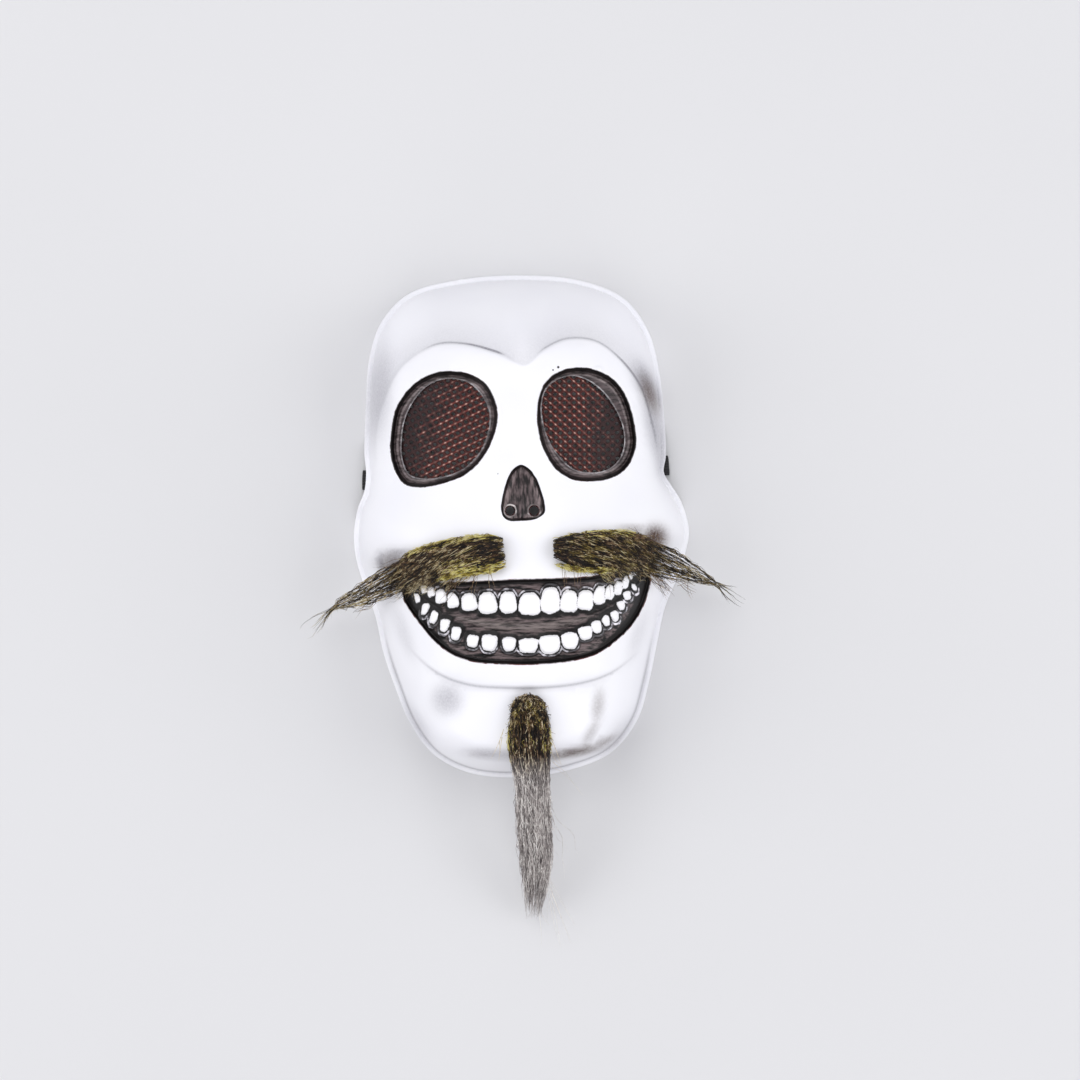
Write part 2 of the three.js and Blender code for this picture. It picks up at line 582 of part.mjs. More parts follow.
function piece(name, geometry, look) {
  const data = solid(geometry).getMesh();
  const made = new THREE.BufferGeometry();
  made.setAttribute("position", new THREE.BufferAttribute(new Float32Array(data.vertProperties), 3));
  made.setIndex(new THREE.BufferAttribute(new Uint32Array(data.triVerts), 1));
  made.computeVertexNormals();
  const mesh = new THREE.Mesh(made, look);
  mesh.name = name;
  return mesh;
}

const whitePlastic = new THREE.MeshStandardMaterial({ color: "#f4f4f6", roughness: 0.35, metalness: 0 });
const netting = new THREE.MeshStandardMaterial({ color: "#2e1f1f", roughness: 0.5, metalness: 0 });
const hair = new THREE.MeshStandardMaterial({ color: "#4a4030", roughness: 0.6, metalness: 0 });
const elastic = new THREE.MeshStandardMaterial({ color: "#1c1a1b", roughness: 0.9, metalness: 0 });

const mask = new THREE.Group();
mask.name = "skull_mask";
mask.add(piece("mask_shell", moulding(), whitePlastic));
for (const socket of sockets) mask.add(piece("eye_mesh_" + socket.side, netPanel(socket), netting));
mask.add(piece("moustache_left", tuft(MOUSTACHE_LEFT), hair));
mask.add(piece("moustache_right", tuft(MOUSTACHE_RIGHT), hair));
mask.add(piece("goatee", tuft(GOATEE), hair));
mask.add(piece("elastic_strap", strap(), elastic));

export default mask;
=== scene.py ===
# %% [markdown]
# A skull costume mask with a hair moustache and goatee.
#
# The mask is one thermoformed sheet of white plastic, painted by hand and by airbrush. It lies face up on a
# pale floor, and the camera looks straight down on it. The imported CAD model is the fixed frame: every piece
# made here stands where its CAD solid stands, in metres, with +Z out of the face and +Y towards the forehead.
#
# Sizes are written in millimetres, and turned into metres where a mesh is made.

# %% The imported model
import math
import bpy
import numpy as np
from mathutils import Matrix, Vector, geometry, kdtree


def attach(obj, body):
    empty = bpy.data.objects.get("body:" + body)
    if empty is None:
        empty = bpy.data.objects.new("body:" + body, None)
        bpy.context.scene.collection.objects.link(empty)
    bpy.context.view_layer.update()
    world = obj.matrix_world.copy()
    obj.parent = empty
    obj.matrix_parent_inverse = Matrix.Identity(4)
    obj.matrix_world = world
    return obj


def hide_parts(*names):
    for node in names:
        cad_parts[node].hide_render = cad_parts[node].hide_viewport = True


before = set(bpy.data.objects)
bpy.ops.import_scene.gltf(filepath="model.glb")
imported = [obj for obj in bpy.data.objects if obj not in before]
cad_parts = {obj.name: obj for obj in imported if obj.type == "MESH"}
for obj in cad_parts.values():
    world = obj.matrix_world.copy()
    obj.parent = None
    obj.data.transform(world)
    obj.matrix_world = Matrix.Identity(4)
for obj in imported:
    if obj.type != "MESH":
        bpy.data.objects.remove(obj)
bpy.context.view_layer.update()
MM = 0.001

# %% [markdown]
# The camera.
#
# The photograph shows the face at about half a millimetre to the pixel, 540 mm across in all. A camera 3 m
# above the face with a 200 mm lens sees just that, and being far away it shows the depth of the face as flat
# as the photograph does.

# %% Camera
VIEW_FROM = (8.5, 29, 3060)
LENS, SENSOR_WIDTH = 200, 36
bpy.ops.object.camera_add(location=[value * MM for value in VIEW_FROM], rotation=(0, 0, 0))
camera = bpy.context.object
camera.name = "camera"
camera.data.lens = LENS
camera.data.sensor_width = SENSOR_WIDTH
bpy.context.scene.camera = camera
print("camera at", tuple(camera.location))

# %% [markdown]
# Curves and distances.
#
# The face is a height above each point of the plane, and the height depends on how far the point is from a
# few outlines. That takes two tools: a smooth curve through points, and the distance to a closed curve. The
# curve is the centripetal Catmull-Rom curve that the CAD model uses, so both models have the same outlines.

# %% Curves
def smooth(low, high, value):
    """0 at low, 1 at high, and an even S between them."""
    t = np.clip((np.asarray(value, float) - low) / (high - low), 0, 1)
    return t * t * (3 - 2 * t)


def curve(points, places, closed=False):
    """Points of a smooth curve through the given ones, at places from 0 to 1."""
    points = np.asarray(points, float)
    spans = len(points) if closed else len(points) - 1
    place = np.clip(np.asarray(places, float), 0, 1) * spans
    span = np.minimum(np.floor(place).astype(int), spans - 1)
    t = (place - span)[:, None]
    if closed:
        a, b, c, d = (points[(span + k) % spans] for k in (-1, 0, 1, 2))
    else:
        padded = np.vstack([2 * points[0] - points[1], points, 2 * points[-1] - points[-2]])
        a, b, c, d = (padded[span + k] for k in range(4))
    before, here, after = (
        np.sqrt(np.linalg.norm(q - p, axis=1))[:, None] + 1e-9 for p, q in ((a, b), (b, c), (c, d))
    )
    leave = here * ((b - a) / before - (c - a) / (before + here) + (c - b) / here)
    arrive = here * ((c - b) / here - (d - b) / (here + after) + (d - c) / after)
    return b + leave * t + (3 * (c - b) - 2 * leave - arrive) * t**2 + (2 * (b - c) + leave + arrive) * t**3


def loop(points, count):
    """A closed smooth curve as evenly spaced points."""
    dense = curve(points, np.linspace(0, 1, 1600), closed=True)
    length = np.concatenate([[0], np.cumsum(np.linalg.norm(np.diff(dense, axis=0), axis=1))])
    wanted = np.linspace(0, length[-1], count, endpoint=False)
    return np.column_stack([np.interp(wanted, length, dense[:, k]) for k in (0, 1)])


def along(stations, place):
    """A smooth curve through (place, value) stations."""
    x, y = np.array(stations, float).T
    slope = np.diff(y) / np.diff(x)
    ends = np.concatenate([slope[:1], (slope[1:] + slope[:-1]) / 2, slope[-1:]])
    i = np.clip(np.searchsorted(x, place) - 1, 0, len(slope) - 1)
    span = x[i + 1] - x[i]
    t = np.clip((place - x[i]) / span, 0, 1)
    blend = t * t * (3 - 2 * t)
    bend = span * (ends[i] * (t**3 - 2 * t**2 + t) + ends[i + 1] * (t**3 - t**2))
    return y[i] * (1 - blend) + y[i + 1] * blend + bend


print("a curve through a square's corners:", loop([(0, 0), (1, 0), (1, 1), (0, 1)], 4).round(2).tolist())

# %% Distances
def offset(ring, distance):
    """The ring moved outwards; a negative distance moves it inwards."""
    after = np.roll(ring, -1, axis=0)
    area = np.sum(ring[:, 0] * after[:, 1] - after[:, 0] * ring[:, 1])
    ahead = after - np.roll(ring, 1, axis=0)
    ahead /= np.linalg.norm(ahead, axis=1)[:, None]
    return ring + math.copysign(distance, area * distance) * np.column_stack([ahead[:, 1], -ahead[:, 0]])


def inside(ring, xy):
    """Distance of each point to the ring, positive inside it."""
    step = np.roll(ring, -1, axis=0) - ring
    squared = np.sum(step**2, axis=1)
    rise = np.where(step[:, 1] == 0, 1, step[:, 1])
    found = []
    for part in np.array_split(xy, len(xy) // 3000 + 1):
        away = part[:, None] - ring
        share = np.clip(np.sum(away * step, axis=2) / squared, 0, 1)
        nearest = np.linalg.norm(away - share[..., None] * step, axis=2).min(axis=1)
        level = away[..., 1] < 0
        spans = level != np.roll(level, -1, axis=1)
        crossed = spans & (away[..., 0] < step[:, 0] * away[..., 1] / rise)
        found.append(np.where(crossed.sum(axis=1) % 2, nearest, -nearest))
    return np.concatenate(found)


unit = loop([(0, 0), (1, 0), (1, 1), (0, 1)], 40)
print("inside and outside:", inside(unit, np.array([(0.5, 0.5), (2, 0.5)])).round(2).tolist())

# %% [markdown]
# The dimensions of the face.
#
# These are the CAD model's own numbers, in millimetres. The outlines were measured on the photograph: the
# edge of the mask, the raised plate of the face inside it, the sockets with the holes in their floors, the
# nose and the mouth. The profile down the middle and the fall towards the cheeks give the depth.

# %% Dimensions of the sheet
SHEET = 0.8
FLANGE = 2.5
SIDE_ROUNDING = 42
CHIN_ROUNDING = 17
ROUNDING_GROWS = (-76, -8)
WALL_POWER = 2.2
HALF_BREADTH = 70
ARCH_HEIGHT = 5.5
ARCH_HALF_LENGTH = 9
ARCH_RUN_OUT = 14
# Where the strap comes out: x, y and the lean of its width.
STRAP_ENDS = [(-75.2, 59.5, 0.06), (67.4, 67, -0.12)]
MIDLINE = [
    (-92, 56), (-76, 67), (-62, 69.5), (-48, 71), (-35, 75), (-15, 78), (5, 78), (25, 75.5), (45, 71.5),
    (70, 68.5), (90, 69), (105, 70.5), (122, 65.5), (140, 58), (160, 48),
]
FALL_BACK = [(-92, 14), (-60, 20), (-15, 27), (15, 26), (40, 20), (80, 15), (160, 12)]
# Swells and hollows of the face: x, y, radius and height.
SWELLS = [
    (-73, 37, 14, 7), (71, 37, 14, 7), (-67, 0, 12, -3), (65, 2, 12, -3), (1, -69, 24, 3),
    (-39, -52, 9, -1.8), (38, -54, 9, -1.8), (-1, 92, 9, -1.5),
]
BROW_STEP, BROW_GROWS = 2.4, (3, 12)
TEMPLE_STEP, TEMPLE_GROWS = 5, (44, 62)
PLATE_SLOPE = (-2.2, 1.2)
LIP_WIDTH, LIP_STEP, LIP_FADES = 12, 1.8, (-30, -16)
print("sheet", SHEET, "mm thick, face", max(z for y, z in MIDLINE), "mm high")

# %% Outlines of the face
FACE_OUTLINE = [
    (0, 164), (28.5, 161.5), (51, 152.5), (64, 135), (69.5, 113.5), (71.5, 96.5), (72.5, 80), (72.5, 71),
    (71.5, 63.5), (75.5, 56.5), (80.5, 48.5), (84.5, 34), (82.5, 22), (78, 8.5), (72.5, -4.5), (68.5, -22),
    (64.5, -41.5), (58, -63), (44.5, -79.5), (24.5, -88), (-1, -92), (-26.5, -90), (-45, -81), (-57.5, -65),
    (-66, -44.5), (-71.5, -28), (-75.5, -10), (-81.5, 6.5), (-85, 18), (-86.5, 31), (-84.5, 44.5),
    (-81, 53.5), (-80, 62.5), (-81, 74), (-80.5, 96.5), (-78.5, 122), (-72.5, 140), (-58.5, 154.5),
    (-31, 162),
]
FACE_PLATE = [
    (-77.5, 60), (-74, 83), (-71, 96), (-61, 115.5), (-44, 126), (-30, 126.5), (-11.5, 121.5), (1, 116),
    (11, 124), (22, 129), (36, 128), (47.5, 120), (58.5, 106), (64.5, 87.5), (69, 66), (74, 56), (100, 36),
    (100, -120), (-100, -120), (-100, 50),
]
RIM_LEFT = [
    (-37.5, 113.2), (-26.5, 111.5), (-18.5, 106.5), (-14.2, 98.5), (-12.8, 89.5), (-15.5, 79), (-21, 69),
    (-29, 61.7), (-39, 57.7), (-51, 55.5), (-59, 57), (-63.5, 62.5), (-66.6, 73), (-66, 85), (-63.5, 95.5),
    (-55, 106.5), (-46, 111.7),
]
HOLE_LEFT = [
    (-37.5, 109.6), (-28, 108), (-21.2, 102), (-17, 93.2), (-17.3, 83.5), (-21.5, 73.2), (-29, 65.3),
    (-38, 61.2), (-49, 59.8), (-57, 62), (-60.6, 69.5), (-61, 80), (-58.5, 92), (-51, 103.5), (-44.5, 108),
]
RIM_RIGHT = [
    (27.5, 115), (36.5, 113.7), (44.8, 109.5), (50, 103.5), (54, 94.5), (56.2, 84.5), (56.6, 76.5),
    (54.2, 69), (50.5, 64), (43, 59.7), (33.5, 58.5), (24.5, 59.5), (17, 64), (11.5, 72), (8.5, 80.5),
    (7.2, 90.5), (8, 99.5), (11.5, 107.7), (18.5, 113),
]
HOLE_RIGHT = [
    (24.5, 111), (32.5, 108.7), (40, 103), (46, 95), (49.8, 86.5), (50.8, 78.5), (49, 71), (44.5, 65.7),
    (38, 63), (30.5, 63), (24.5, 65), (16.5, 73), (12, 81), (9.8, 89.5), (9.5, 97), (11.7, 104.3), (17, 109),
]
NOSE = [
    (-1, 66.5), (3.5, 64), (7, 59), (9.2, 53), (10.8, 47), (10.8, 42.8), (8, 40.2), (4, 38.9), (-2, 38.6),
    (-6, 38.4), (-9.5, 40.3), (-10.9, 44), (-10.3, 50), (-8.5, 57), (-5.5, 63.5),
]
# Each nostril: the x and y of its middle, and its radius.
NOSTRILS = [(-6.4, 43.6, 2.45), (5.6, 43.6, 2.55)]
MOUTH = [
    (63.6, 12), (61.3, -2), (55.5, -12.5), (47.5, -20.5), (38, -27), (26, -30.7), (8, -32.6), (-9, -32.6),
    (-24, -31.5), (-35, -28), (-44, -21.5), (-53, -11), (-59.8, -1), (-60, 6), (-50, 7.4), (-35, 7.9),
    (-17, 8.6), (0, 9.4), (18, 9.8), (33, 10.6), (45, 12.8), (56, 15.6),
]
face_loop = loop(FACE_OUTLINE, 420)
wall_foot = offset(face_loop, -FLANGE)
plate_loop = loop(FACE_PLATE, 520)
mouth_loop = loop(MOUTH, 320)
nose_loop = loop(NOSE, 90)
rims = [loop(RIM_LEFT, 170), loop(RIM_RIGHT, 170)]
holes = [loop(HOLE_LEFT, 150), loop(HOLE_RIGHT, 150)]
print("the outline spans", np.ptp(face_loop, axis=0).round(1), "mm")

# %% [markdown]
# The height of the face.
#
# The sheet stands on a flat flange, with a low arch at each temple that lets the strap out. Its wall rises
# from the flange as steeply as a mould's does and rounds over into the crest. A step runs round the face
# plate at the brow and the temples, and another under the mouth. A wide fillet would hide them, so both are
# only a few millimetres wide.

# %% Height of the face
def rim_height(xy):
    """Height of the flange's underside: 0, but for the two arches at the temples."""
    centre = np.where(xy[:, 0] < 0, STRAP_ENDS[0][1], STRAP_ENDS[1][1])
    return ARCH_HEIGHT * (1 - smooth(ARCH_HALF_LENGTH, ARCH_HALF_LENGTH + ARCH_RUN_OUT,
                                     abs(xy[:, 1] - centre)))


def face_height(xy):
    """Height of the face with nothing sunk into it."""
    x, y = xy.T
    rim = rim_height(xy) + SHEET
    from_wall = np.maximum(inside(wall_foot, xy), 0)
    rounding = CHIN_ROUNDING + (SIDE_ROUNDING - CHIN_ROUNDING) * smooth(*ROUNDING_GROWS, y)
    rise = np.sqrt(1 - (1 - np.minimum(from_wall / rounding, 1)) ** WALL_POWER)
    crest = along(MIDLINE, y) - along(FALL_BACK, y) * (x / HALF_BREADTH) ** 2
    for swell_x, swell_y, radius, height in SWELLS:
        crest += height * np.exp(-((x - swell_x) ** 2 + (y - swell_y) ** 2) / (2 * radius**2))
    step = BROW_STEP * smooth(*BROW_GROWS, abs(x - 1)) + TEMPLE_STEP * smooth(*TEMPLE_GROWS, abs(x))
    crest -= step * (1 - smooth(*PLATE_SLOPE, inside(plate_loop, xy)))
    from_mouth = -inside(mouth_loop, xy)
    crest -= LIP_STEP * smooth(LIP_WIDTH - 1.5, LIP_WIDTH + 1, from_mouth) * (1 - smooth(*LIP_FADES, y))
    return rim + (crest - rim) * rise


print("height at the middle of the upper lip:", face_height(np.array([(0.0, 20.0)])).round(1), "mm")

# %% [markdown]
# The teeth.
#
# Each tooth is a low dome on a rounded rectangle that narrows towards the root, and leans more the further it
# is from the middle. A number that is 1 on the tooth's outline and less inside it is enough to shape and to
# paint it.

# %% Teeth
# Each tooth: the x and y of its middle, its width and its length.
UPPER_TEETH = [
    (-53, 0, 3, 5), (-49.5, 4.5, 3, 4.5), (-46, 3.2, 4, 6), (-41, 1, 5.8, 7.4), (-35, -1, 6, 7.6),
    (-26.8, -1.8, 8, 9), (-17.6, -2.2, 9.2, 11), (-7.4, -2, 8.6, 11), (3.4, -2.8, 11, 11.6),
    (13.6, -1, 9.6, 13.4), (23, -1.4, 8.6, 11.2), (31.2, -0.9, 8.4, 10.2), (38.2, 1.4, 6.4, 9.6),
    (43.2, 2.8, 5.2, 7.6), (47.6, 5, 4.8, 7), (51.4, 8, 3.6, 7.2), (53.8, 11, 2.4, 4.6),
    (56.3, 12.4, 2, 2.6),
]
LOWER_TEETH = [
    (-49, -5.5, 3.6, 6.6), (-44.5, -9.5, 4, 7), (-39.2, -13.6, 4.5, 7), (-33.4, -17.6, 5, 7),
    (-25.1, -21.4, 6, 6.6), (-16.8, -22.2, 7.8, 8.4), (-6.9, -22.8, 6.8, 7.2), (2.6, -23.6, 9.8, 7.6),
    (13.4, -23, 10.4, 9.4), (23.4, -21.2, 8.4, 8.6), (31.2, -17.3, 7, 7), (36.8, -14.5, 5.2, 6.6),
    (41.5, -11.5, 4, 5.6), (46, -9, 4, 5.6), (49.2, -3.8, 4, 5), (52.2, 1.2, 4, 4.8), (55.8, 5.1, 2.6, 4.4),
]
UPPER_LEAN, LOWER_LEAN = -0.3, 0.35
TOOTH_TAPER = 0.16
TOOTH_HEIGHT = 3
ROW_REACH = 52
teeth = [(x, y, width, length, UPPER_LEAN * x / ROW_REACH, 1) for x, y, width, length in UPPER_TEETH]
teeth += [(x, y, width, length, LOWER_LEAN * x / ROW_REACH, -1) for x, y, width, length in LOWER_TEETH]


def tooth_reach(tooth, xy):
    """1 on a tooth's outline and less inside it, and how far a point is towards its root, from -1 to 1."""
    x, y, width, length, lean, root = tooth
    dx = xy[:, 0] - x
    dy = xy[:, 1] - y
    across = (dx * math.cos(lean) + dy * math.sin(lean)) / (width / 2)
    up = (dy * math.cos(lean) - dx * math.sin(lean)) / (length / 2)
    narrowed = across / np.clip(1 - TOOTH_TAPER * up * root, 0.5, 2)
    return (abs(narrowed) ** 3 + abs(up) ** 3) ** (1 / 3), up * root


print(len(teeth), "teeth")

# %% [markdown]
# What is sunk into the face.
#
# The sockets have a steep wall and a floor with a hole, whose cut edge is turned up a little. The nose has
# two nostrils with a bead round each. The mouth has a gum that swells round the roots of the teeth, with a
# thin bead along each root, and a band of gum between the rows. A small blister stands at the upper edge of
# one socket. The function also returns the distances from all these edges, because the paint follows them.

# %% Sockets, nose and mouth
SOCKET_DEPTH, SOCKET_WALL = 6, 2.2
LEDGE_RIDGE, RIDGE_PLACE = 0.45, 3.3
NOSE_DEPTH, NOSE_WALL = 5, 1.6
NOSTRIL_BEAD = 0.8
MOUTH_DEPTH, MOUTH_WALL = 3.4, 1.5
GUM_MIDDLE, GUM_RISE, GUM_POWER, GUM_HALF = -14, 16, 2.6, 3
GUM_HEIGHT, GUM_SWELL, ROOT_BEAD = 1.8, 1.2, 0.5
BLISTER, BLISTER_RADII, BLISTER_HEIGHT = (38, 114.6), (2.4, 1.6), 0.7


def bell(value, width):
    """1 where value is 0, falling away over about width on either side."""
    return np.exp(-((value / width) ** 2))


def mouth_relief(xy):
    """How far the gums and teeth rise in the mouth, with the paint's distances and painted root highlight."""
    gum_line = GUM_MIDDLE + GUM_RISE * abs(xy[:, 0] / ROW_REACH) ** GUM_POWER
    half = GUM_HALF * (1 - 0.6 * smooth(20, ROW_REACH, abs(xy[:, 0])))
    gum = 1 - smooth(0, 1, abs(xy[:, 1] - gum_line) / half)
    raised = GUM_HEIGHT * gum
    painted = np.full(len(xy), -20.0)
    next_to = painted.copy()
    root_highlight = np.zeros(len(xy))
    for tooth in teeth:
        reach, towards_root = tooth_reach(tooth, xy)
        radius = min(tooth[2], tooth[3]) / 2
        from_edge = (1 - reach) * radius
        dome = np.sqrt(np.clip(1 - (reach / 1.1) ** 4, 0, 1)) * smooth(1.1, 0.86, reach)
        arc = bell(from_edge + 0.95, 0.42) * smooth(0, 0.8, towards_root)
        raised = np.maximum(raised, GUM_SWELL * bell(np.minimum(from_edge, 0), 1.6) + ROOT_BEAD * arc)
        raised = np.maximum(raised, TOOTH_HEIGHT * dome)
        next_to = np.maximum(next_to, np.minimum(painted, from_edge))
        painted = np.maximum(painted, from_edge)
        root_highlight = np.maximum(root_highlight, arc)
    painted = np.minimum(painted, 0.7 * (painted - next_to) - 0.05)
    return raised, {"gum": gum, "tooth": painted, "root_highlight": root_highlight}


def outer_height(xy):
    """The sheet's outer face, and the distances that its paint follows."""
    socket = np.maximum(inside(rims[0], xy), inside(rims[1], xy))
    ledge = -np.maximum(inside(holes[0], xy), inside(holes[1], xy))
    nose = inside(nose_loop, xy)
    nostril = np.min([np.hypot(xy[:, 0] - x, xy[:, 1] - y) - radius for x, y, radius in NOSTRILS], axis=0)
    mouth = inside(mouth_loop, xy)
    raised, fields = mouth_relief(xy)
    ridge = LEDGE_RIDGE * bell(socket - RIDGE_PLACE, 0.6) * smooth(0.6, 2, ledge) + 0.4 * bell(ledge, 0.6)
    bead = NOSTRIL_BEAD * (1 - smooth(0, NOSTRIL_BEAD, abs(nostril - NOSTRIL_BEAD / 2)))
    z = face_height(xy)
    from_blister = np.hypot(*((xy - BLISTER) / BLISTER_RADII).T)
    z += BLISTER_HEIGHT * smooth(1.15, 0.6, from_blister)
    z -= np.where(socket > 0, SOCKET_DEPTH * smooth(0, SOCKET_WALL, socket) - ridge, 0)
    z -= np.where(nose > 0, NOSE_DEPTH * smooth(0, NOSE_WALL, nose) - bead, 0)
    z -= np.where(mouth > 0, (MOUTH_DEPTH - raised) * smooth(0, MOUTH_WALL, mouth), 0)
    # Painted sheen on the gum band, brightest in the middle of the mouth; the corners keep black as painted
    # shade.
    fields["gum"] *= smooth(0.5, 2, mouth) * (1 - 0.75 * smooth(16, 38, abs(xy[:, 0] - 1)))
    corner_shade = 0.15 * np.maximum(abs(xy[:, 0] - 1) - 36, 0)
    fields.update(socket=socket, ledge=ledge, nose=nose, nostril=nostril, mouth=mouth,
                  lit_mouth=mouth - corner_shade)
    return z, fields


print("deepest in the mouth:", MOUTH_DEPTH, "mm; in the sockets:", SOCKET_DEPTH, "mm")

# %% [markdown]
# Airbrushed paint and painted shade.
#
# Soft smudges of grey and brown on the cheeks, chin and temples are partly airbrush and partly painted
# shade, and painted grey shade sits in the creases along the brow, under the lip and at the foot of the chin.
# Each smudge is an oval with soft edges: its middle, its two half widths, its turn in degrees and its
# strength.

# %% Airbrushed paint and painted shade
# Partly airbrush; painted shade under the left moustache's end, on the left temple, by the mouth and under
# the chin.
GREY_SPRAY_AND_SHADE = [
    (-65, 18.5, 9, 5.5, 6, 0.6), (-71.5, 17, 2, 6, 4, 0.85), (-62, 23, 9, 2, 5, 0.5),
    (-73, 104, 7, 26, -4, 0.42), (-38, -51, 8, 8, 0, 0.5), (-14, -78, 15, 3.2, -4, 0.45),
    (-60, -18, 4, 14, 20, 0.22), (58, -18, 4, 14, -18, 0.2), (48, -70, 5, 14, -35, 0.25),
    (-54, -64, 5, 14, 32, 0.28), (66.5, 84, 26, 5, -77, 0.5), (62, 108, 12, 6, -62, 0.6),
]
# Partly airbrush on the chin and the right temple; painted shade by the ends of the moustache.
BROWN_SPRAY_AND_SHADE = [
    (66.5, 30.5, 7, 6.5, -12, 1.05), (56, 34.5, 9, 2.6, -2, 0.5), (-66, 18.5, 7.5, 5.5, 8, 0.5),
    (37.5, -54, 3.4, 9, -8, 0.45), (34, -67, 2.6, 9, -28, 0.4), (25, -77.5, 16, 2.8, 9, 0.95),
    (40, -73, 8, 2.4, 27, 0.6), (64, 103, 11, 4, -68, 0.8), (-22, -78.5, 8, 2.2, -4, 0.2),
]


def smudges(ovals, xy):
    """The strongest of the ovals at each point, from 0 to 1."""
    found = np.zeros(len(xy))
    for x, y, long, wide, turn, strength in ovals:
        angle = math.radians(turn)
        dx = xy[:, 0] - x
        dy = xy[:, 1] - y
        ahead = (dx * math.cos(angle) + dy * math.sin(angle)) / long
        aside = (dy * math.cos(angle) - dx * math.sin(angle)) / wide
        found = np.maximum(found, strength * np.exp(-1.1 * (ahead**2 + aside**2) ** 1.35))
    return found


def creases(xy):
    """Painted shade in the creases of the brow, the lip and the chin's edge, and on the forehead above the
    brow.
    """
    x, y = xy.T
    from_plate = -inside(plate_loop, xy)
    left_brow = smooth(-60, -40, x) * smooth(-8, -13, x) * (0.55 + 0.45 * smooth(-36, -16, x))
    right_brow = smooth(4, 12, x) * smooth(54, 44, x) * 0.5 + smooth(44, 53, x)
    brow = 1.35 * bell(from_plate - 0.9, 0.55) * (left_brow + right_brow) * smooth(70, 92, y)
    # A wider painted shade on the forehead above the brow.
    above_brow = 0.24 * bell(np.maximum(from_plate, 0), 11) * smooth(-0.4, 0.6, from_plate)
    above_brow *= smooth(60, 96, y)
    lip = bell(-inside(mouth_loop, xy) - LIP_WIDTH, 0.7) * smooth(-16, -32, y) * smooth(62, 40, abs(x))
    foot = bell(inside(face_loop, xy) - FLANGE - 0.7, 0.8) * smooth(-10, -40, y)
    return np.clip(np.maximum(brow, above_brow) + 0.5 * lip + 0.7 * foot, 0, 1)


print(len(GREY_SPRAY_AND_SHADE) + len(BROWN_SPRAY_AND_SHADE), "smudges")

# %% [markdown]
# The points of the sheet.
#
# Rings of points run beside every edge, so that the steep walls and the painted outlines are crisp. The mouth
# gets a net of points half a millimetre apart for its teeth, the blister one much like it, and the rest of
# the face one of 2.4 mm. A grid primitive can't follow so many outlines at once, so this sheet is mesh code:
# points that keep a distance from each other, joined by a Delaunay triangulation.

# %% Points of the sheet
MOUTH_PITCH, BLISTER_PITCH, FACE_PITCH = 0.52, 0.6, 2.4
MOUTH_BOX = (-62, -34), (66, 18)
BLISTER_BOX = (34, 111.5), (42, 118)
FACE_BOX = (-87, -93), (86, 165)


def hexagons(low, high, pitch):
    """Points of a hexagonal net between two corners."""
    rows = np.arange(low[1], high[1], pitch * math.sqrt(3) / 2)
    starts = [low[0] + (row % 2) * pitch / 2 for row in range(len(rows))]
    return np.vstack([
        np.column_stack([line := np.arange(start, high[0], pitch), np.full(len(line), y)])
        for start, y in zip(starts, rows)
    ])


def spaced(points, batch, clear):
    """The points, and those of the batch that are further than clear from all of them."""
    tree = kdtree.KDTree(len(points))
    for i, (x, y) in enumerate(points):
        tree.insert((x, y, 0), i)
    tree.balance()
    return np.vstack([points, [p for p in batch if tree.find((p[0], p[1], 0))[2] > clear]])


def rings(base, distances):
    """Copies of a ring at several distances, outwards positive."""
    return np.vstack([offset(base, d) for d in distances])


nostril_rings = [loop([(x + r, y), (x, y + r), (x - r, y), (x, y - r)], 30) for x, y, r in NOSTRILS]
flat = rings(face_loop, [0, -1.2, -2.4, -2.5, -2.58, -2.72, -2.95, -3.3, -3.8, -4.6, -5.8, -7.4, -9.4])
for rim, hole in zip(rims, holes):
    flat = np.vstack([flat, rings(hole, [0, 0.4, 0.9])])
    flat = spaced(flat, rings(rim, [0.8, 0.3, 0, -0.3, -0.8, -1.4, -1.9, -2.3, -2.8, -3.3, -3.8, -4.4]), 0.33)
for ring in nostril_rings:
    flat = np.vstack([flat, rings(ring, [0, 0.2, 0.4, 0.7, 1])])
flat = spaced(flat, rings(nose_loop, [0.7, 0.3, 0, -0.3, -0.7, -1.2, -1.6]), 0.25)
flat = spaced(flat, rings(mouth_loop, [0.8, 0.3, 0, -0.3, -0.7, -1.1, -1.6]), 0.25)
mouth_net = hexagons(*MOUTH_BOX, MOUTH_PITCH)
flat = spaced(flat, mouth_net[inside(mouth_loop, mouth_net) > 1.8], 0.28)
flat = spaced(flat, rings(mouth_loop, [10.4, 11.2, 12, 13])[::2], 1)
flat = spaced(flat, rings(plate_loop, [0.9, 0.5, 1.3, 0.1, 1.7, 2.3, -0.5, 3, -1.2]), 0.34)
flat = spaced(flat, hexagons(*BLISTER_BOX, BLISTER_PITCH), 0.4)
flat = spaced(flat, hexagons(*FACE_BOX, FACE_PITCH), 1.5)
flat = flat[inside(face_loop, flat) > -0.01]
print(len(flat), "points")

# %% Triangles of the sheet
scatter = 1e-3 * np.column_stack([np.sin(12.9 * np.arange(len(flat))), np.sin(78.2 * np.arange(len(flat)))])
found = geometry.delaunay_2d_cdt([Vector(p) for p in flat + scatter], [], [], 0, 1e-6)
flat = np.array([tuple(p) for p in found[0]])
triangles = np.array(found[2])
centres = flat[triangles].mean(axis=1)
kept = inside(face_loop, centres) > 0
for ring in holes + nostril_rings:
    kept &= inside(ring, centres) < 0
used, triangles = np.unique(triangles[kept], return_inverse=True)
triangles = triangles.reshape(-1, 3)
flat = flat[used]
print(len(triangles), "triangles on each side")

# %% [markdown]
# The sheet.
#
# The inner face lies one sheet's thickness behind the outer one, measured square to it, and never below the
# flat underside of the flange. Both are joined along the rim, the eye holes and the nostrils. The paint's
# distances are kept on the points as attributes, and the outer and inner faces get a material slot each.

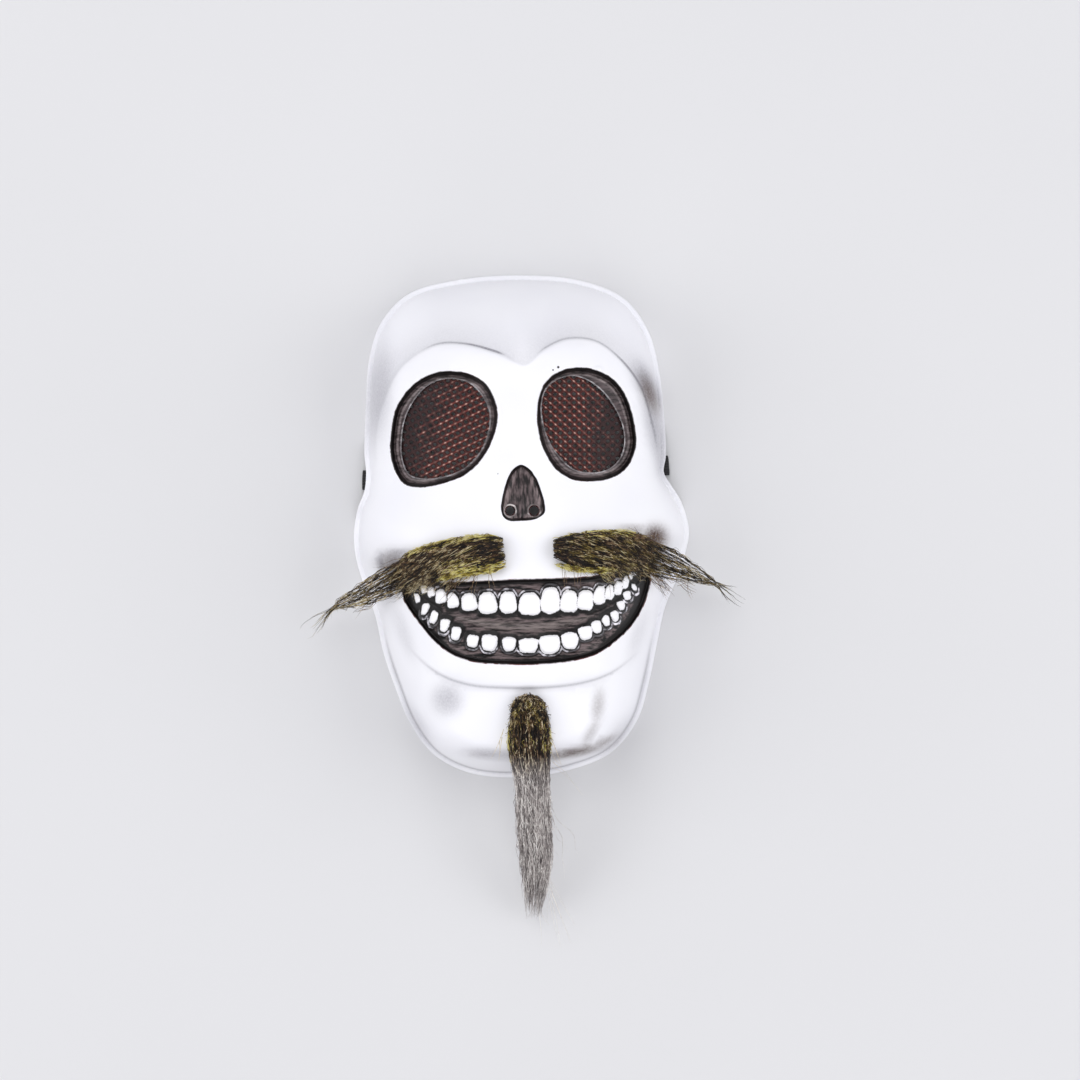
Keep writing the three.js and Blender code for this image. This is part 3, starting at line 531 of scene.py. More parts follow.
# %% The sheet
def mesh_object(name, points, faces, slots=None):
    """An object from points in millimetres, smooth all over."""
    mesh = bpy.data.meshes.new(name)
    mesh.from_pydata((np.asarray(points) * MM).tolist(), [], faces)
    mesh.polygons.foreach_set("use_smooth", [True] * len(mesh.polygons))
    if slots is not None:
        mesh.polygons.foreach_set("material_index", slots)
    made = bpy.data.objects.new(name, mesh)
    bpy.context.collection.objects.link(made)
    return made


def keep(made, name, values):
    """Stores one number for each point, which a material reads by name."""
    made.data.attributes.new(name, "FLOAT", "POINT").data.foreach_set("value", np.asarray(values, np.float32))


def closed_faces(faces, count):
    """Faces of a closed shell: the given ones, their copy behind them, and a strip along each open edge."""
    ends = np.vstack([faces[:, [0, 1]], faces[:, [1, 2]], faces[:, [2, 0]]])
    known = set(map(tuple, ends.tolist()))
    a, b = np.array([(p, q) for p, q in ends.tolist() if (q, p) not in known]).T
    strip = np.vstack([np.column_stack([b, a, a + count]), np.column_stack([b, a + count, b + count])])
    return np.vstack([faces, faces[:, ::-1] + count, strip])


def closed_grid(rows, columns):
    """Faces of a closed shell between two grids of points, one behind the other."""
    first = np.arange(rows * columns).reshape(rows, columns)
    a, b, c, d = (part.ravel() for part in (first[:-1, :-1], first[:-1, 1:], first[1:, 1:], first[1:, :-1]))
    return closed_faces(np.vstack([np.column_stack([a, b, c]), np.column_stack([a, c, d])]), rows * columns)


height, fields = outer_height(flat)
outer = np.column_stack([flat, height])
corners = outer[triangles]
facing = np.cross(corners[:, 1] - corners[:, 0], corners[:, 2] - corners[:, 0])
if facing[:, 2].sum() < 0:
    triangles = triangles[:, ::-1]
    facing = -facing
normals = np.zeros_like(outer)
for corner in range(3):
    np.add.at(normals, triangles[:, corner], facing)
upright = np.clip(normals[:, 2] / np.linalg.norm(normals, axis=1), 0.2, 1)
behind = np.maximum(height - SHEET / upright, rim_height(flat))
inner = np.column_stack([flat, np.minimum(behind, height - 0.3 * SHEET)])
sheet_faces = closed_faces(triangles, len(outer))
slots = np.arange(len(sheet_faces)) >= len(triangles)
mask = mesh_object("mask_sheet", np.vstack([outer, inner]), sheet_faces.tolist(), slots.astype(int))
# The grey and brown are airbrush and painted shade; the crease shade is all painted shade.
fields.update(grey=smudges(GREY_SPRAY_AND_SHADE, flat), brown=smudges(BROWN_SPRAY_AND_SHADE, flat), crease=creases(flat))
for name, values in fields.items():
    keep(mask, name, np.concatenate([values, values]))
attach(mask, "root")
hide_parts("mask_shell")
print(mask.name, len(mask.data.polygons), "triangles")

# %% [markdown]
# The painted plastic.
#
# The sheet is thermoformed PVC: white and half glossy, with a faint unevenness from the forming. On it are a
# soft airbrush in grey and brown, and then brush paint in glossy near-black and grey, and white on the teeth.
# Painted shade, and painted highlights and sheen on the dark paint, lie among them.
# A brush follows an edge by hand, so each edge is a distance with a little noise added, and each coat is one
# layer over the last. Every coat is drawn where its distance passes from one value to another.

# %% A node helper and colours
def hex_colour(code):
    """A colour as #rrggbb, turned from sRGB into the linear values that shaders use."""
    channels = [int(code[i : i + 2], 16) / 255 for i in (1, 3, 5)]
    return [c / 12.92 if c <= 0.04045 else ((c + 0.055) / 1.055) ** 2.4 for c in channels] + [1]


def join(tree, node, inputs):
    """Gives sockets of a node, by name or number, their values or the outputs that drive them."""
    for socket, value in inputs:
        if isinstance(value, bpy.types.NodeSocket):
            tree.links.new(value, node.inputs[socket])
        else:
            node.inputs[socket].default_value = value


def add(tree, kind, inputs=(), **settings):
    """One node with its settings and its inputs, joined to what drives them."""
    node = tree.nodes.new("ShaderNode" + kind)
    for name, value in settings.items():
        setattr(node, name, value)
    join(tree, node, inputs)
    return node


# A Mix node has the same sockets again for each kind of data; these are the numbers of those for colours.
FACTOR, FIRST, SECOND, MIXED = 0, 6, 7, 2


def new_material(name):
    """A material with only its Principled shader: the material, its node tree and the shader."""
    made = bpy.data.materials.new(name)
    made.use_nodes = True
    shader = next(node for node in made.node_tree.nodes if node.type == "BSDF_PRINCIPLED")
    return made, made.node_tree, shader


print("white as linear:", [round(c, 3) for c in hex_colour("#f4f4f6")])

# %% Painted PVC
# Semi-gloss moulded sheet: its highlights are soft, and the brush paint on it is a little glossier.
painted_pvc, tree, shader = new_material("painted_pvc")
place = add(tree, "TexCoord").outputs["Object"]
wander = add(tree, "TexNoise",
             [("Vector", place), ("Scale", 1 / (3.2 * MM)), ("Detail", 4), ("Roughness", 0.6)])
blotches = add(tree, "TexNoise", [("Vector", place), ("Scale", 1 / (5 * MM)), ("Detail", 3)])
wobble = add(tree, "MapRange", [("Value", wander.outputs["Fac"]), ("From Min", 0.25), ("From Max", 0.75),
                                ("To Min", -0.28), ("To Max", 0.28)])
speckle = add(tree, "TexNoise",
              [("Vector", place), ("Scale", 1 / (1.1 * MM)), ("Detail", 4), ("Roughness", 0.7)])
strokes_at = add(tree, "Mapping", [("Vector", place), ("Scale", (0.16, 1, 0.3))])
strokes = add(tree, "TexNoise",
              [("Vector", strokes_at.outputs["Vector"]), ("Scale", 1 / (1.4 * MM)), ("Detail", 3),
               ("Roughness", 0.65)])
upright_at = add(tree, "Mapping", [("Vector", place), ("Scale", (1, 0.22, 0.3))])
upright = add(tree, "TexNoise",
              [("Vector", upright_at.outputs["Vector"]), ("Scale", 1 / (1.5 * MM)), ("Detail", 3)])
cloudy = add(tree, "TexNoise", [("Vector", place), ("Scale", 1 / (45 * MM)), ("Detail", 2)])
base = add(tree, "Mix", [(FACTOR, cloudy.outputs["Fac"]), (FIRST, hex_colour("#fbfbfd")),
                         (SECOND, hex_colour("#f0f0f6"))], data_type="RGBA")
colour = base.outputs[MIXED]

# Airbrush and painted shade, as attribute, colour and strength. Fine speckle breaks it up as drops of spray
# do.
SPRAYS_AND_SHADE = [("crease", "#67646f", 0.85), ("grey", "#6d6a76", 0.95), ("brown", "#4f382c", 1)]
for name, shade, strength in SPRAYS_AND_SHADE:
    amount = add(tree, "Attribute", attribute_name=name)
    grained = add(tree, "MapRange", [("Value", speckle.outputs["Fac"]), ("From Min", 0.3), ("From Max", 0.7),
                                     ("To Min", 0.72 * strength), ("To Max", 1.15 * strength)])
    covered = add(tree, "Math", [(0, amount.outputs["Fac"]), (1, grained.outputs["Result"])],
                  operation="MULTIPLY", use_clamp=True)
    coat = add(tree, "Mix", [(FACTOR, covered.outputs[0]), (FIRST, colour), (SECOND, hex_colour(shade))],
               data_type="RGBA")
    colour = coat.outputs[MIXED]

# Brush paint, with painted sheen, highlights and shade where noted, each coat over the last: the attribute,
# the distances in mm where it starts and is full, its wobble, its streaks, how broken it is, and its colour.
TOOTH_WHITE = "#fdfcfe"
COATS = [
    ("socket", -0.45, -0.2, 0.6, 0.2, 0.6, "#4a2e2a"),
    ("socket", -0.3, 0.1, 0.6, 0.2, 0, "#0b0707"),
    # Painted sheen on the glossy black of the socket's wall and floor, and a painted highlight on the ridge.
    ("socket", 1.3, 2.0, 1, 0.7, 0, "#4e4444"),
    ("socket", 2.6, 3.2, 0.6, 0.5, 0.3, "#857a7a"),
    ("socket", 3.6, 4.3, 0.5, 0.6, 0, "#4c4243"),
    ("ledge", 0.8, 0.4, 0.3, 0.4, 0.6, "#a5a1a3"),
    ("nose", -0.2, 0.1, 0.6, 0.2, 0, "#0d0808"),
    # A painted highlight on the nose's walls.
    ("nose", 1.0, 1.6, 1, 0.9, 0, "#726565"),
    ("nose", 2.6, 4.2, 1, 0.8, 0.3, "#423738"),
    ("nostril", 1.25, 0.7, 0.3, 0.4, 0.75, "#d2cbc9"),
    # Painted shade: dark red-brown at the edge of each nostril's hole.
    ("nostril", 0.4, 0.1, 0.3, 0.3, 0, "#451613"),
    ("mouth", -0.55, -0.3, 0.7, 0.2, 0.6, "#6a2f29"),
    ("mouth", -0.3, 0.1, 0.7, 0.2, 0, "#0c0707"),
    # The grey stops short of the mouth's corners, left black as painted shade; the lighter gum band is
    # painted sheen.
    ("lit_mouth", 1.9, 3.1, 1.8, 1.0, 0, "#554a4a"),
    ("gum", 0.05, 0.55, 0.3, 0.7, 0, "#665d5b"),
    # Near-black round each tooth: black paint between the teeth, spread wider as painted shade round them.
    ("tooth", -2.5, -1.0, 1.4, 0.5, 0, "#0b0707"),
    # A painted highlight along the bead over each root.
    ("root_highlight", 0.25, 0.65, 0.7, 0.6, 0.9, "#cdcad1"),
    ("tooth", -0.05, 0.25, 1.5, 0.05, 0, TOOTH_WHITE),
]
BRIGHTEST = hex_colour(TOOTH_WHITE)[:3]
brushed = {}
for direction, noise in (("level", strokes), ("upright", upright)):
    brushed[direction] = add(tree, "MapRange", [("Value", noise.outputs["Fac"]), ("From Min", 0.39),
                                                ("From Max", 0.61), ("To Min", -1), ("To Max", 1)])
for name, start, full, wobbling, streaks, broken, shade in COATS:
    distance = add(tree, "Attribute", attribute_name=name)
    uneven = add(tree, "Math", [(0, wobble.outputs["Result"]), (1, wobbling), (2, distance.outputs["Fac"])],
                 operation="MULTIPLY_ADD")
    where = add(tree, "MapRange", [("Value", uneven.outputs[0]), ("From Min", start), ("From Max", full)],
                interpolation_type="SMOOTHSTEP")
    streaked = brushed["upright" if name == "nose" else "level"].outputs["Result"]
    thick = add(tree, "Math", [(0, streaked), (1, streaks), (2, 1)], operation="MULTIPLY_ADD")
    tone = add(tree, "VectorMath", [(0, hex_colour(shade)[:3]), ("Scale", thick.outputs[0])],
               operation="SCALE")
    paint = add(tree, "VectorMath", [(0, tone.outputs[0]), (1, BRIGHTEST)], operation="MINIMUM")
    gaps = add(tree, "MapRange", [("Value", blotches.outputs["Fac"]), ("From Min", 0.42), ("From Max", 0.52),
                                  ("To Min", 1), ("To Max", 1 - broken)])
    cover = add(tree, "Math", [(0, where.outputs["Result"]), (1, gaps.outputs["Result"])],
                operation="MULTIPLY")
    coat = add(tree, "Mix", [(FACTOR, cover.outputs[0]), (FIRST, colour), (SECOND, paint.outputs[0])],
               data_type="RGBA")
    colour = coat.outputs[MIXED]

# A few flecks of black paint that flew off the brush: x, y and radius in mm.
FLECKS = [(15, 113.8, 0.5), (17.6, 115.2, 0.75), (14, 109.6, 0.35), (-12.5, 62, 0.3)]
level_place = add(tree, "VectorMath", [(0, place), (1, (1, 1, 0))], operation="MULTIPLY")
for x, y, radius in FLECKS:
    away = add(tree, "VectorMath", [(0, level_place.outputs[0]), (1, (x * MM, y * MM, 0))],
               operation="DISTANCE")
    fleck = add(tree, "MapRange", [("Value", away.outputs["Value"]), ("From Min", radius * MM),
                                   ("From Max", 0.6 * radius * MM)])
    coat = add(tree, "Mix",
               [(FACTOR, fleck.outputs["Result"]), (FIRST, colour), (SECOND, hex_colour("#1d1718"))],
               data_type="RGBA")
    colour = coat.outputs[MIXED]
print(painted_pvc.name, "with", len(SPRAYS_AND_SHADE), "sprays,", len(COATS), "coats and", len(FLECKS), "flecks")

# %% The finish of the painted PVC
# The forming leaves a waviness of about 12 mm, and the paint a fine one of under a millimetre.
waves = add(tree, "TexNoise", [("Vector", place), ("Scale", 1 / (12 * MM)), ("Detail", 1)])
wavy = add(tree, "Bump", [("Height", waves.outputs["Fac"]), ("Strength", 0.12), ("Distance", 1.2 * MM)])
grain = add(tree, "Bump", [("Height", strokes.outputs["Fac"]), ("Strength", 0.12), ("Distance", 0.12 * MM),
                           ("Normal", wavy.outputs["Normal"])])
gloss = add(tree, "MapRange", [("Value", speckle.outputs["Fac"]), ("To Min", 0.34), ("To Max", 0.46)])
join(tree, shader, [("Base Color", colour), ("Roughness", gloss.outputs["Result"]),
                    ("Normal", grain.outputs["Normal"]), ("IOR", 1.5), ("Specular IOR Level", 0.3)])
mask.data.materials.append(painted_pvc)
print(len(tree.nodes), "nodes")

# %% [markdown]
# The bare inside of the sheet.
#
# Nobody paints the inside of such a mask. It is the bare white PVC, a little duller than the outside, with
# the faint unevenness of a vacuum-formed back.

# %% Bare PVC
bare_pvc, tree, shader = new_material("bare_pvc")
place = add(tree, "TexCoord").outputs["Object"]
cloudy = add(tree, "TexNoise", [("Vector", place), ("Scale", 1 / (20 * MM)), ("Detail", 3)])
colour = add(tree, "Mix", [(FACTOR, cloudy.outputs["Fac"]), (FIRST, hex_colour("#f3f3f4")),
                           (SECOND, hex_colour("#e6e6ea"))], data_type="RGBA")
fine = add(tree, "TexNoise", [("Vector", place), ("Scale", 1 / (1.5 * MM)), ("Detail", 3)])
rough = add(tree, "MapRange", [("Value", fine.outputs["Fac"]), ("To Min", 0.42), ("To Max", 0.55)])
bump = add(tree, "Bump", [("Height", fine.outputs["Fac"]), ("Strength", 0.15), ("Distance", 0.1 * MM)])
join(tree, shader, [("Base Color", colour.outputs[MIXED]), ("Roughness", rough.outputs["Result"]),
                    ("Normal", bump.outputs["Normal"])])
mask.data.materials.append(bare_pvc)
print("material slots:", [m.name for m in mask.data.materials])

# %% [markdown]
# The nets behind the eye holes.
#
# Each eye hole is closed by a panel of stiff knotted net, cut a little larger than the hole and glued behind
# the socket's floor. Its threads cross at about 85 degrees, 3.2 mm apart. A grid turned by 45 degrees and
# squeezed has just those threads, and the Wireframe modifier gives them thickness. The net is made flat,
# trimmed to the hole, and then pressed to the curve of the socket's floor, because a glued panel follows it.

# %% The nets
KNOT_PITCH = (4.75, 4.3)
NET_CELLS = 22
THREAD_WIDTH = 2.4
THREAD_THICKNESS = 0.5
NET_LAP = 2.4
GLUE_GAP, CAD_NET_THICKNESS = 0.35, 0.6
NET_BEHIND = GLUE_GAP + CAD_NET_THICKNESS / 2
NETS = [("left", (-39.5, 84.5), -16, holes[0]), ("right", (30.5, 87), 1, holes[1])]


def deselect_all():
    """Nothing stays selected, so an operator acts only on what is picked next."""
    for made in bpy.context.selected_objects:
        made.select_set(False)


def steepness(xy):
    """How much further apart two surfaces are when measured upright than when measured square to the face."""
    slope = [(face_height(xy + step) - face_height(xy - step)) / 2 for step in np.eye(2)]
    return np.minimum(np.sqrt(1 + slope[0] ** 2 + slope[1] ** 2), 4)


def points_of(made):
    """The points of a mesh in millimetres."""
    values = np.empty(3 * len(made.data.vertices), np.float32)
    made.data.vertices.foreach_get("co", values)
    return values.reshape(-1, 3) / MM


def place_points(made, points):
    """Moves the points of a mesh to the given ones, in millimetres."""
    made.data.vertices.foreach_set("co", (np.asarray(points) * MM).astype(np.float32).ravel())
    made.data.update()


def flat_net(name, centre, turn, hole):
    """A flat net round the centre, trimmed to the hole and its lap."""
    deselect_all()
    side = NET_CELLS * KNOT_PITCH[0] / math.sqrt(2)
    bpy.ops.mesh.primitive_grid_add(x_subdivisions=NET_CELLS, y_subdivisions=NET_CELLS, size=side * MM)
    made = bpy.context.object
    made.name = name
    made.rotation_euler = (0, 0, math.radians(45))
    bpy.ops.object.transform_apply(location=False, rotation=True, scale=False)
    made.scale = (1, KNOT_PITCH[1] / KNOT_PITCH[0], 1)
    bpy.ops.object.transform_apply(location=False, rotation=False, scale=True)
    made.rotation_euler = (0, 0, math.radians(turn))
    made.location = (centre[0] * MM, centre[1] * MM, 0)
    bpy.ops.object.transform_apply(location=True, rotation=True, scale=False)
    bpy.ops.object.mode_set(mode="EDIT")
    bpy.ops.mesh.select_mode(type="FACE")
    bpy.ops.mesh.select_all(action="DESELECT")
    bpy.ops.object.mode_set(mode="OBJECT")
    middles = np.array([face.center[:2] for face in made.data.polygons]) / MM
    made.data.polygons.foreach_set("select", inside(hole, middles) < -NET_LAP)
    bpy.ops.object.mode_set(mode="EDIT")
    bpy.ops.mesh.delete(type="FACE")
    bpy.ops.object.mode_set(mode="OBJECT")
    return made


nets = []
for side, centre, turn, hole in NETS:
    net = flat_net("eye_net_" + side, centre, turn, hole)
    threads = net.modifiers.new("threads", "WIREFRAME")
    threads.thickness = THREAD_WIDTH * MM
    threads.use_boundary = True
    threads.use_even_offset = False
    bpy.ops.object.modifier_apply(modifier="threads")
    rounding = net.modifiers.new("rounding", "SUBSURF")
    rounding.levels = 1
    rounding.render_levels = 1
    bpy.ops.object.modifier_apply(modifier="rounding")
    bpy.ops.object.shade_smooth()
    points = points_of(net)
    points[:, 2] *= THREAD_THICKNESS / np.ptp(points[:, 2])
    floor_height = face_height(points[:, :2]) - SOCKET_DEPTH
    points[:, 2] += floor_height - SHEET * steepness(points[:, :2]) - NET_BEHIND
    place_points(net, points)
    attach(net, "root")
    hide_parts("eye_mesh_" + side)
    nets.append(net)
    print(net.name, len(net.data.polygons), "faces")

# %% [markdown]
# The finish of the nets.
#
# The net is dark red-brown polyester. Its light and shade are painted: the knots, where the threads pass over
# each other, catch pale painted glints, and the upper threads a pink painted sheen. The knots are found from
# the object's own coordinates, turned to the net's angle and divided by the knots' pitch: both the sum and
# the difference of the two are whole numbers there. The painted light falls unevenly, as on a net that isn't
# quite
# flat: a noise of 7 mm says where it is lit, one of 2.6 mm which knots flash; the outer side is in shade.

# %% Knotted polyester
# Painted light and shade: shaded and lit thread, pink painted sheen on upper threads, pale painted glints on
# knots.
SHADED_THREAD, LIT_THREAD, PINK_THREAD_SHEEN, PALE_KNOT_GLINT = "#322020", "#472421", "#a8554c", "#e6beae"


def knotted_polyester(name, centre, turn, outwards):
    """The finish of one net. Outwards is -1 on the left and 1 on the right; the outer side has painted shade.
    """
    made, tree, shader = new_material(name)
    place = add(tree, "TexCoord").outputs["Object"]
    moved = add(tree, "Mapping", [("Vector", place), ("Location", (centre[0] * MM, centre[1] * MM, 0)),
                                  ("Rotation", (0, 0, math.radians(turn)))], vector_type="TEXTURE")
    pitch = add(tree, "VectorMath", [(0, moved.outputs["Vector"]),
                                     (1, (KNOT_PITCH[0] * MM, KNOT_PITCH[1] * MM, 1))], operation="DIVIDE")
    parts = add(tree, "SeparateXYZ", [("Vector", pitch.outputs[0])])
    nearness = []
    for operation, reach in (("ADD", 0.22 - 0.07 * outwards), ("SUBTRACT", 0.22 + 0.07 * outwards)):
        family = add(tree, "Math", [(0, parts.outputs["X"]), (1, parts.outputs["Y"])], operation=operation)
        away = add(tree, "Math", [(0, family.outputs[0]), (1, 0.5)], operation="PINGPONG")
        near = add(tree, "MapRange",
                   [("Value", away.outputs[0]), ("From Max", reach), ("To Min", 1), ("To Max", 0)],
                   interpolation_type="SMOOTHSTEP")
        nearness.append(near.outputs["Result"])
    knot = add(tree, "Math", [(0, nearness[0]), (1, nearness[1])], operation="MULTIPLY")
    patchy = add(tree, "TexNoise",
                 [("Vector", place), ("Scale", 1 / (7 * MM)), ("Detail", 4), ("Roughness", 0.75)])
    shaded = add(tree, "MapRange", [("Value", parts.outputs["X"]), ("From Min", 4.6 * outwards),
                                    ("From Max", -0.6 * outwards), ("To Min", -0.3), ("To Max", 0.16)])
    lifted = add(tree, "Math", [(0, patchy.outputs["Fac"]), (1, shaded.outputs["Result"])], operation="ADD")
    lit = add(tree, "MapRange", [("Value", lifted.outputs[0]), ("From Min", 0.38), ("From Max", 0.68)])
    flicker = add(tree, "TexNoise", [("Vector", place), ("Scale", 1 / (2.6 * MM)), ("Detail", 2)])
    caught = add(tree, "MapRange", [("Value", flicker.outputs["Fac"]), ("From Min", 0.38), ("From Max", 0.62),
                                    ("To Min", 0.2), ("To Max", 1.5)])
    glint = add(tree, "Math", [(0, lit.outputs["Result"]), (1, caught.outputs["Result"])],
                operation="MULTIPLY", use_clamp=True)
    thread = add(tree, "Mix", [(FACTOR, lit.outputs["Result"]), (FIRST, hex_colour(SHADED_THREAD)),
                               (SECOND, hex_colour(LIT_THREAD))], data_type="RGBA")
    upper_thread = nearness[0] if outwards > 0 else nearness[1]
    rosy_sheen = add(tree, "Math", [(0, upper_thread), (1, glint.outputs[0])], operation="MULTIPLY")
    half_rosy_sheen = add(tree, "Math", [(0, rosy_sheen.outputs[0]), (1, 0.42)], operation="MULTIPLY")
    pink = add(tree, "Mix", [(FACTOR, half_rosy_sheen.outputs[0]), (FIRST, thread.outputs[MIXED]),
                             (SECOND, hex_colour(PINK_THREAD_SHEEN))], data_type="RGBA")
    pale = add(tree, "Math", [(0, knot.outputs[0]), (1, glint.outputs[0])], operation="MULTIPLY")
    colour = add(tree, "Mix", [(FACTOR, pale.outputs[0]), (FIRST, pink.outputs[MIXED]),
                               (SECOND, hex_colour(PALE_KNOT_GLINT))], data_type="RGBA")
    fibres = add(tree, "TexNoise", [("Vector", place), ("Scale", 1 / (0.5 * MM)), ("Detail", 2)])
    bump = add(tree, "Bump", [("Height", fibres.outputs["Fac"]), ("Strength", 0.3), ("Distance", 0.1 * MM)])
    rough = add(tree, "MapRange", [("Value", fibres.outputs["Fac"]), ("To Min", 0.45), ("To Max", 0.7)])
    join(tree, shader, [("Base Color", colour.outputs[MIXED]), ("Roughness", rough.outputs["Result"]),
                        ("Normal", bump.outputs["Normal"]), ("Specular IOR Level", 0.2)])
    return made


for net, (side, centre, turn, hole) in zip(nets, NETS):
    outwards = math.copysign(1, centre[0])
    net.data.materials.append(knotted_polyester("knotted_polyester_" + side, centre, turn, outwards))
    panel = offset(hole, NET_LAP)

# %% [markdown]
# Strands of hair.
#
# The moustache and the goatee are bundles of artificial hair. A particle system would be lost in the export,
# so each strand is a thin three-sided tube of its own, in one mesh for each tuft. A strand is combed along
# its tuft in the tuft's own directions: along it, across it, and from its bed to its top. It waves a little,
# and where the tuft hangs clear of the face the strands gather into locks. Short yellow fuzz lies along the
# edges of the brown hair, and a dark pad of tangled fibres closes the middle. A real tuft has far more
# strands, and finer ones, which would be lost in the picture and cost too many triangles.
#
# A tuft has a spine, whose points give x and y and, where it hangs clear of the face, its height. At each of
# them it has a half width and a thickness. Its fullness widens or narrows the strands against that outline,
# and the other entries say which way is down, where the locks form, where the pad lies, how many strands the
# fringe and the fuzz have, how much darker the tuft is, where it is tinted olive, and where loose strands
# start and end. A loose group gives its start, its end, the number of its strands and how far they spread,
# and one that hangs clear of the face also its lowest height.

# %% Tufts
HAIR_GAP = 1.2
TUFTS = {
    "moustache_left": {
        "spine": [
            (-9, 22.5), (-30, 20.2), (-48, 16.3), (-62, 11, 47), (-79, 2.9, 33), (-96, -5.2, 19),
            (-113, -18.5, 8),
        ],
        "half_widths": [9.3, 10.5, 9.6, 7.2, 4.8, 3.4, 1.2],
        "thickness": [4.5, 7, 7, 6, 5, 3.5, 1.6],
        "fullness": [
            (0, 0.84), (0.06, 0.97), (0.2, 0.95), (0.5, 1.05), (0.67, 1.1), (0.79, 0.75), (0.85, 0.35),
            (1, 4.5),
        ],
        "down": 1,
        "locks": (0.42, 0.62),
        "pad": (0.025, 0.4),
        "fringe": 280,
        "fuzz": (600, (0.05, 0.9)),
        "shade": 0,
        "tinted": (0.34, 0.14),
        "loose": [
            ((-16, 14, 6), (-14, 3, 6), 3, 1), ((-24, 13, 6), (-25, 1, 6), 4, 1.6),
            ((-34, 10, 5), (-39, -2, 5), 5, 2), ((-76, -2, 4), (-84, -8, 4), 9, 2, 31),
            ((-56, 18, 6), (-72, 14, 5), 16, 1.6),
        ],
    },
    "moustache_right": {
        "spine": [
            (15, 22.8), (32, 23.1), (50, 23.4), (65, 20, 41), (80.5, 14.6, 28), (96.5, 7.5, 17),
            (113.2, -3, 8),
        ],
        "half_widths": [7.2, 9.9, 10, 8, 5.4, 3.6, 1.2],
        "thickness": [4.5, 7, 7, 6, 5, 3.5, 1.6],
        "fullness": [
            (0, 0.85), (0.06, 0.99), (0.2, 1), (0.5, 1.05), (0.67, 1.1), (0.79, 0.75), (0.855, 0.35),
            (1, 4.5),
        ],
        "down": -1,
        "locks": (0.42, 0.62),
        "pad": (0.025, 0.4),
        "fringe": 170,
        "fuzz": (140, (0.76, 1)),
        "shade": -0.13,
        "tinted": (0.62, 0.45),
        "loose": [
            ((65, 13, 4), (73.5, 2.5, 4), 24, 1.7, 36), ((80, 9, 4), (86, 4, 4), 10, 2.4, 29),
            ((20, 15, 6), (22, 3, 6), 3, 1), ((28, 15, 6), (27, 3, 6), 3, 1.5),
            ((44, 14, 5), (45, 4, 5), 4, 2.5), ((55, 31, 6), (70, 28, 5), 16, 1.8),
        ],
    },
    "goatee": {
        "spine": [
            (2.5, -47.5), (3, -60), (3.3, -74), (4.5, -91, 58), (5.5, -113, 41), (6.5, -135, 23),
            (5, -163.9, 4),
        ],
        "half_widths": [5, 10, 10.2, 9.2, 9.6, 7.5, 1.4],
        "thickness": [4, 7, 7.5, 8, 7, 5.5, 1.8],
        "fullness": [
            (0, 0.2), (0.02, 0.75), (0.05, 1.08), (0.09, 1.03), (0.16, 0.93), (0.3, 0.97), (0.84, 1),
            (0.93, 1.3), (1, 1.9),
        ],
        "down": 1,
        "locks": (0.8, 1.4),
        "pad": (0.02, 0.7),
        "shade": -0.03,
        "tinted": (0.27, 0.18),
        "loose": [
            ((11, -138, 20), (26, -167, 5), 2, 0.3), ((11, -141, 17), (19, -178, 2), 2, 0.4),
            ((12, -142, 17), (25, -177, 2), 2, 0.4), ((6, -148, 12), (9.5, -178, 2), 1, 0.1),
            ((5, -150, 12), (13, -167, 3), 1, 0.1), ((14, -84, 12), (31, -100, 26), 2, 1),
            ((-9, -66, 3), (-13, -80, 6), 3, 1.5), ((14, -70, 3), (18, -84, 6), 2, 1.5),
        ],
    },
}
rng = np.random.default_rng(11)


def on_tuft(tuft, t, across, level):
    """Points of a tuft: t is 0 to 1 along it, across -1 to 1, and level 0 on its bed and 1 on its top."""
    spine = [(x, y, *(z or face_height(np.array([(x, y)])) - 6)) for x, y, *z in tuft["spine"]]
    middle = curve(spine, t)
    ahead = (curve(spine, t + 0.002) - curve(spine, t - 0.002))[:, :2]
    ahead /= np.linalg.norm(ahead, axis=1)[:, None]
    stations = np.linspace(0, 1, len(spine))
    half = along(list(zip(stations, tuft["half_widths"])), t)
    thick = along(list(zip(stations, tuft["thickness"])), t) * np.sqrt(np.clip(1 - 0.9 * across**2, 0.1, 1))
    xy = middle[:, :2] + (across * half)[:, None] * np.column_stack([-ahead[:, 1], ahead[:, 0]])
    bed = np.maximum(face_height(xy) + 0.25, middle[:, 2])
    return np.column_stack([xy, bed + level * (thick + HAIR_GAP)])


print("tufts:", list(TUFTS))

# %% Combing
STEPS = 10
LOCKS, GATHERING = 5, 0.6
LOWEST_HAIR = 0.4


def between(limits, count):
    """One random number for each of count strands, as a column."""
    return rng.uniform(*limits, (count, 1))


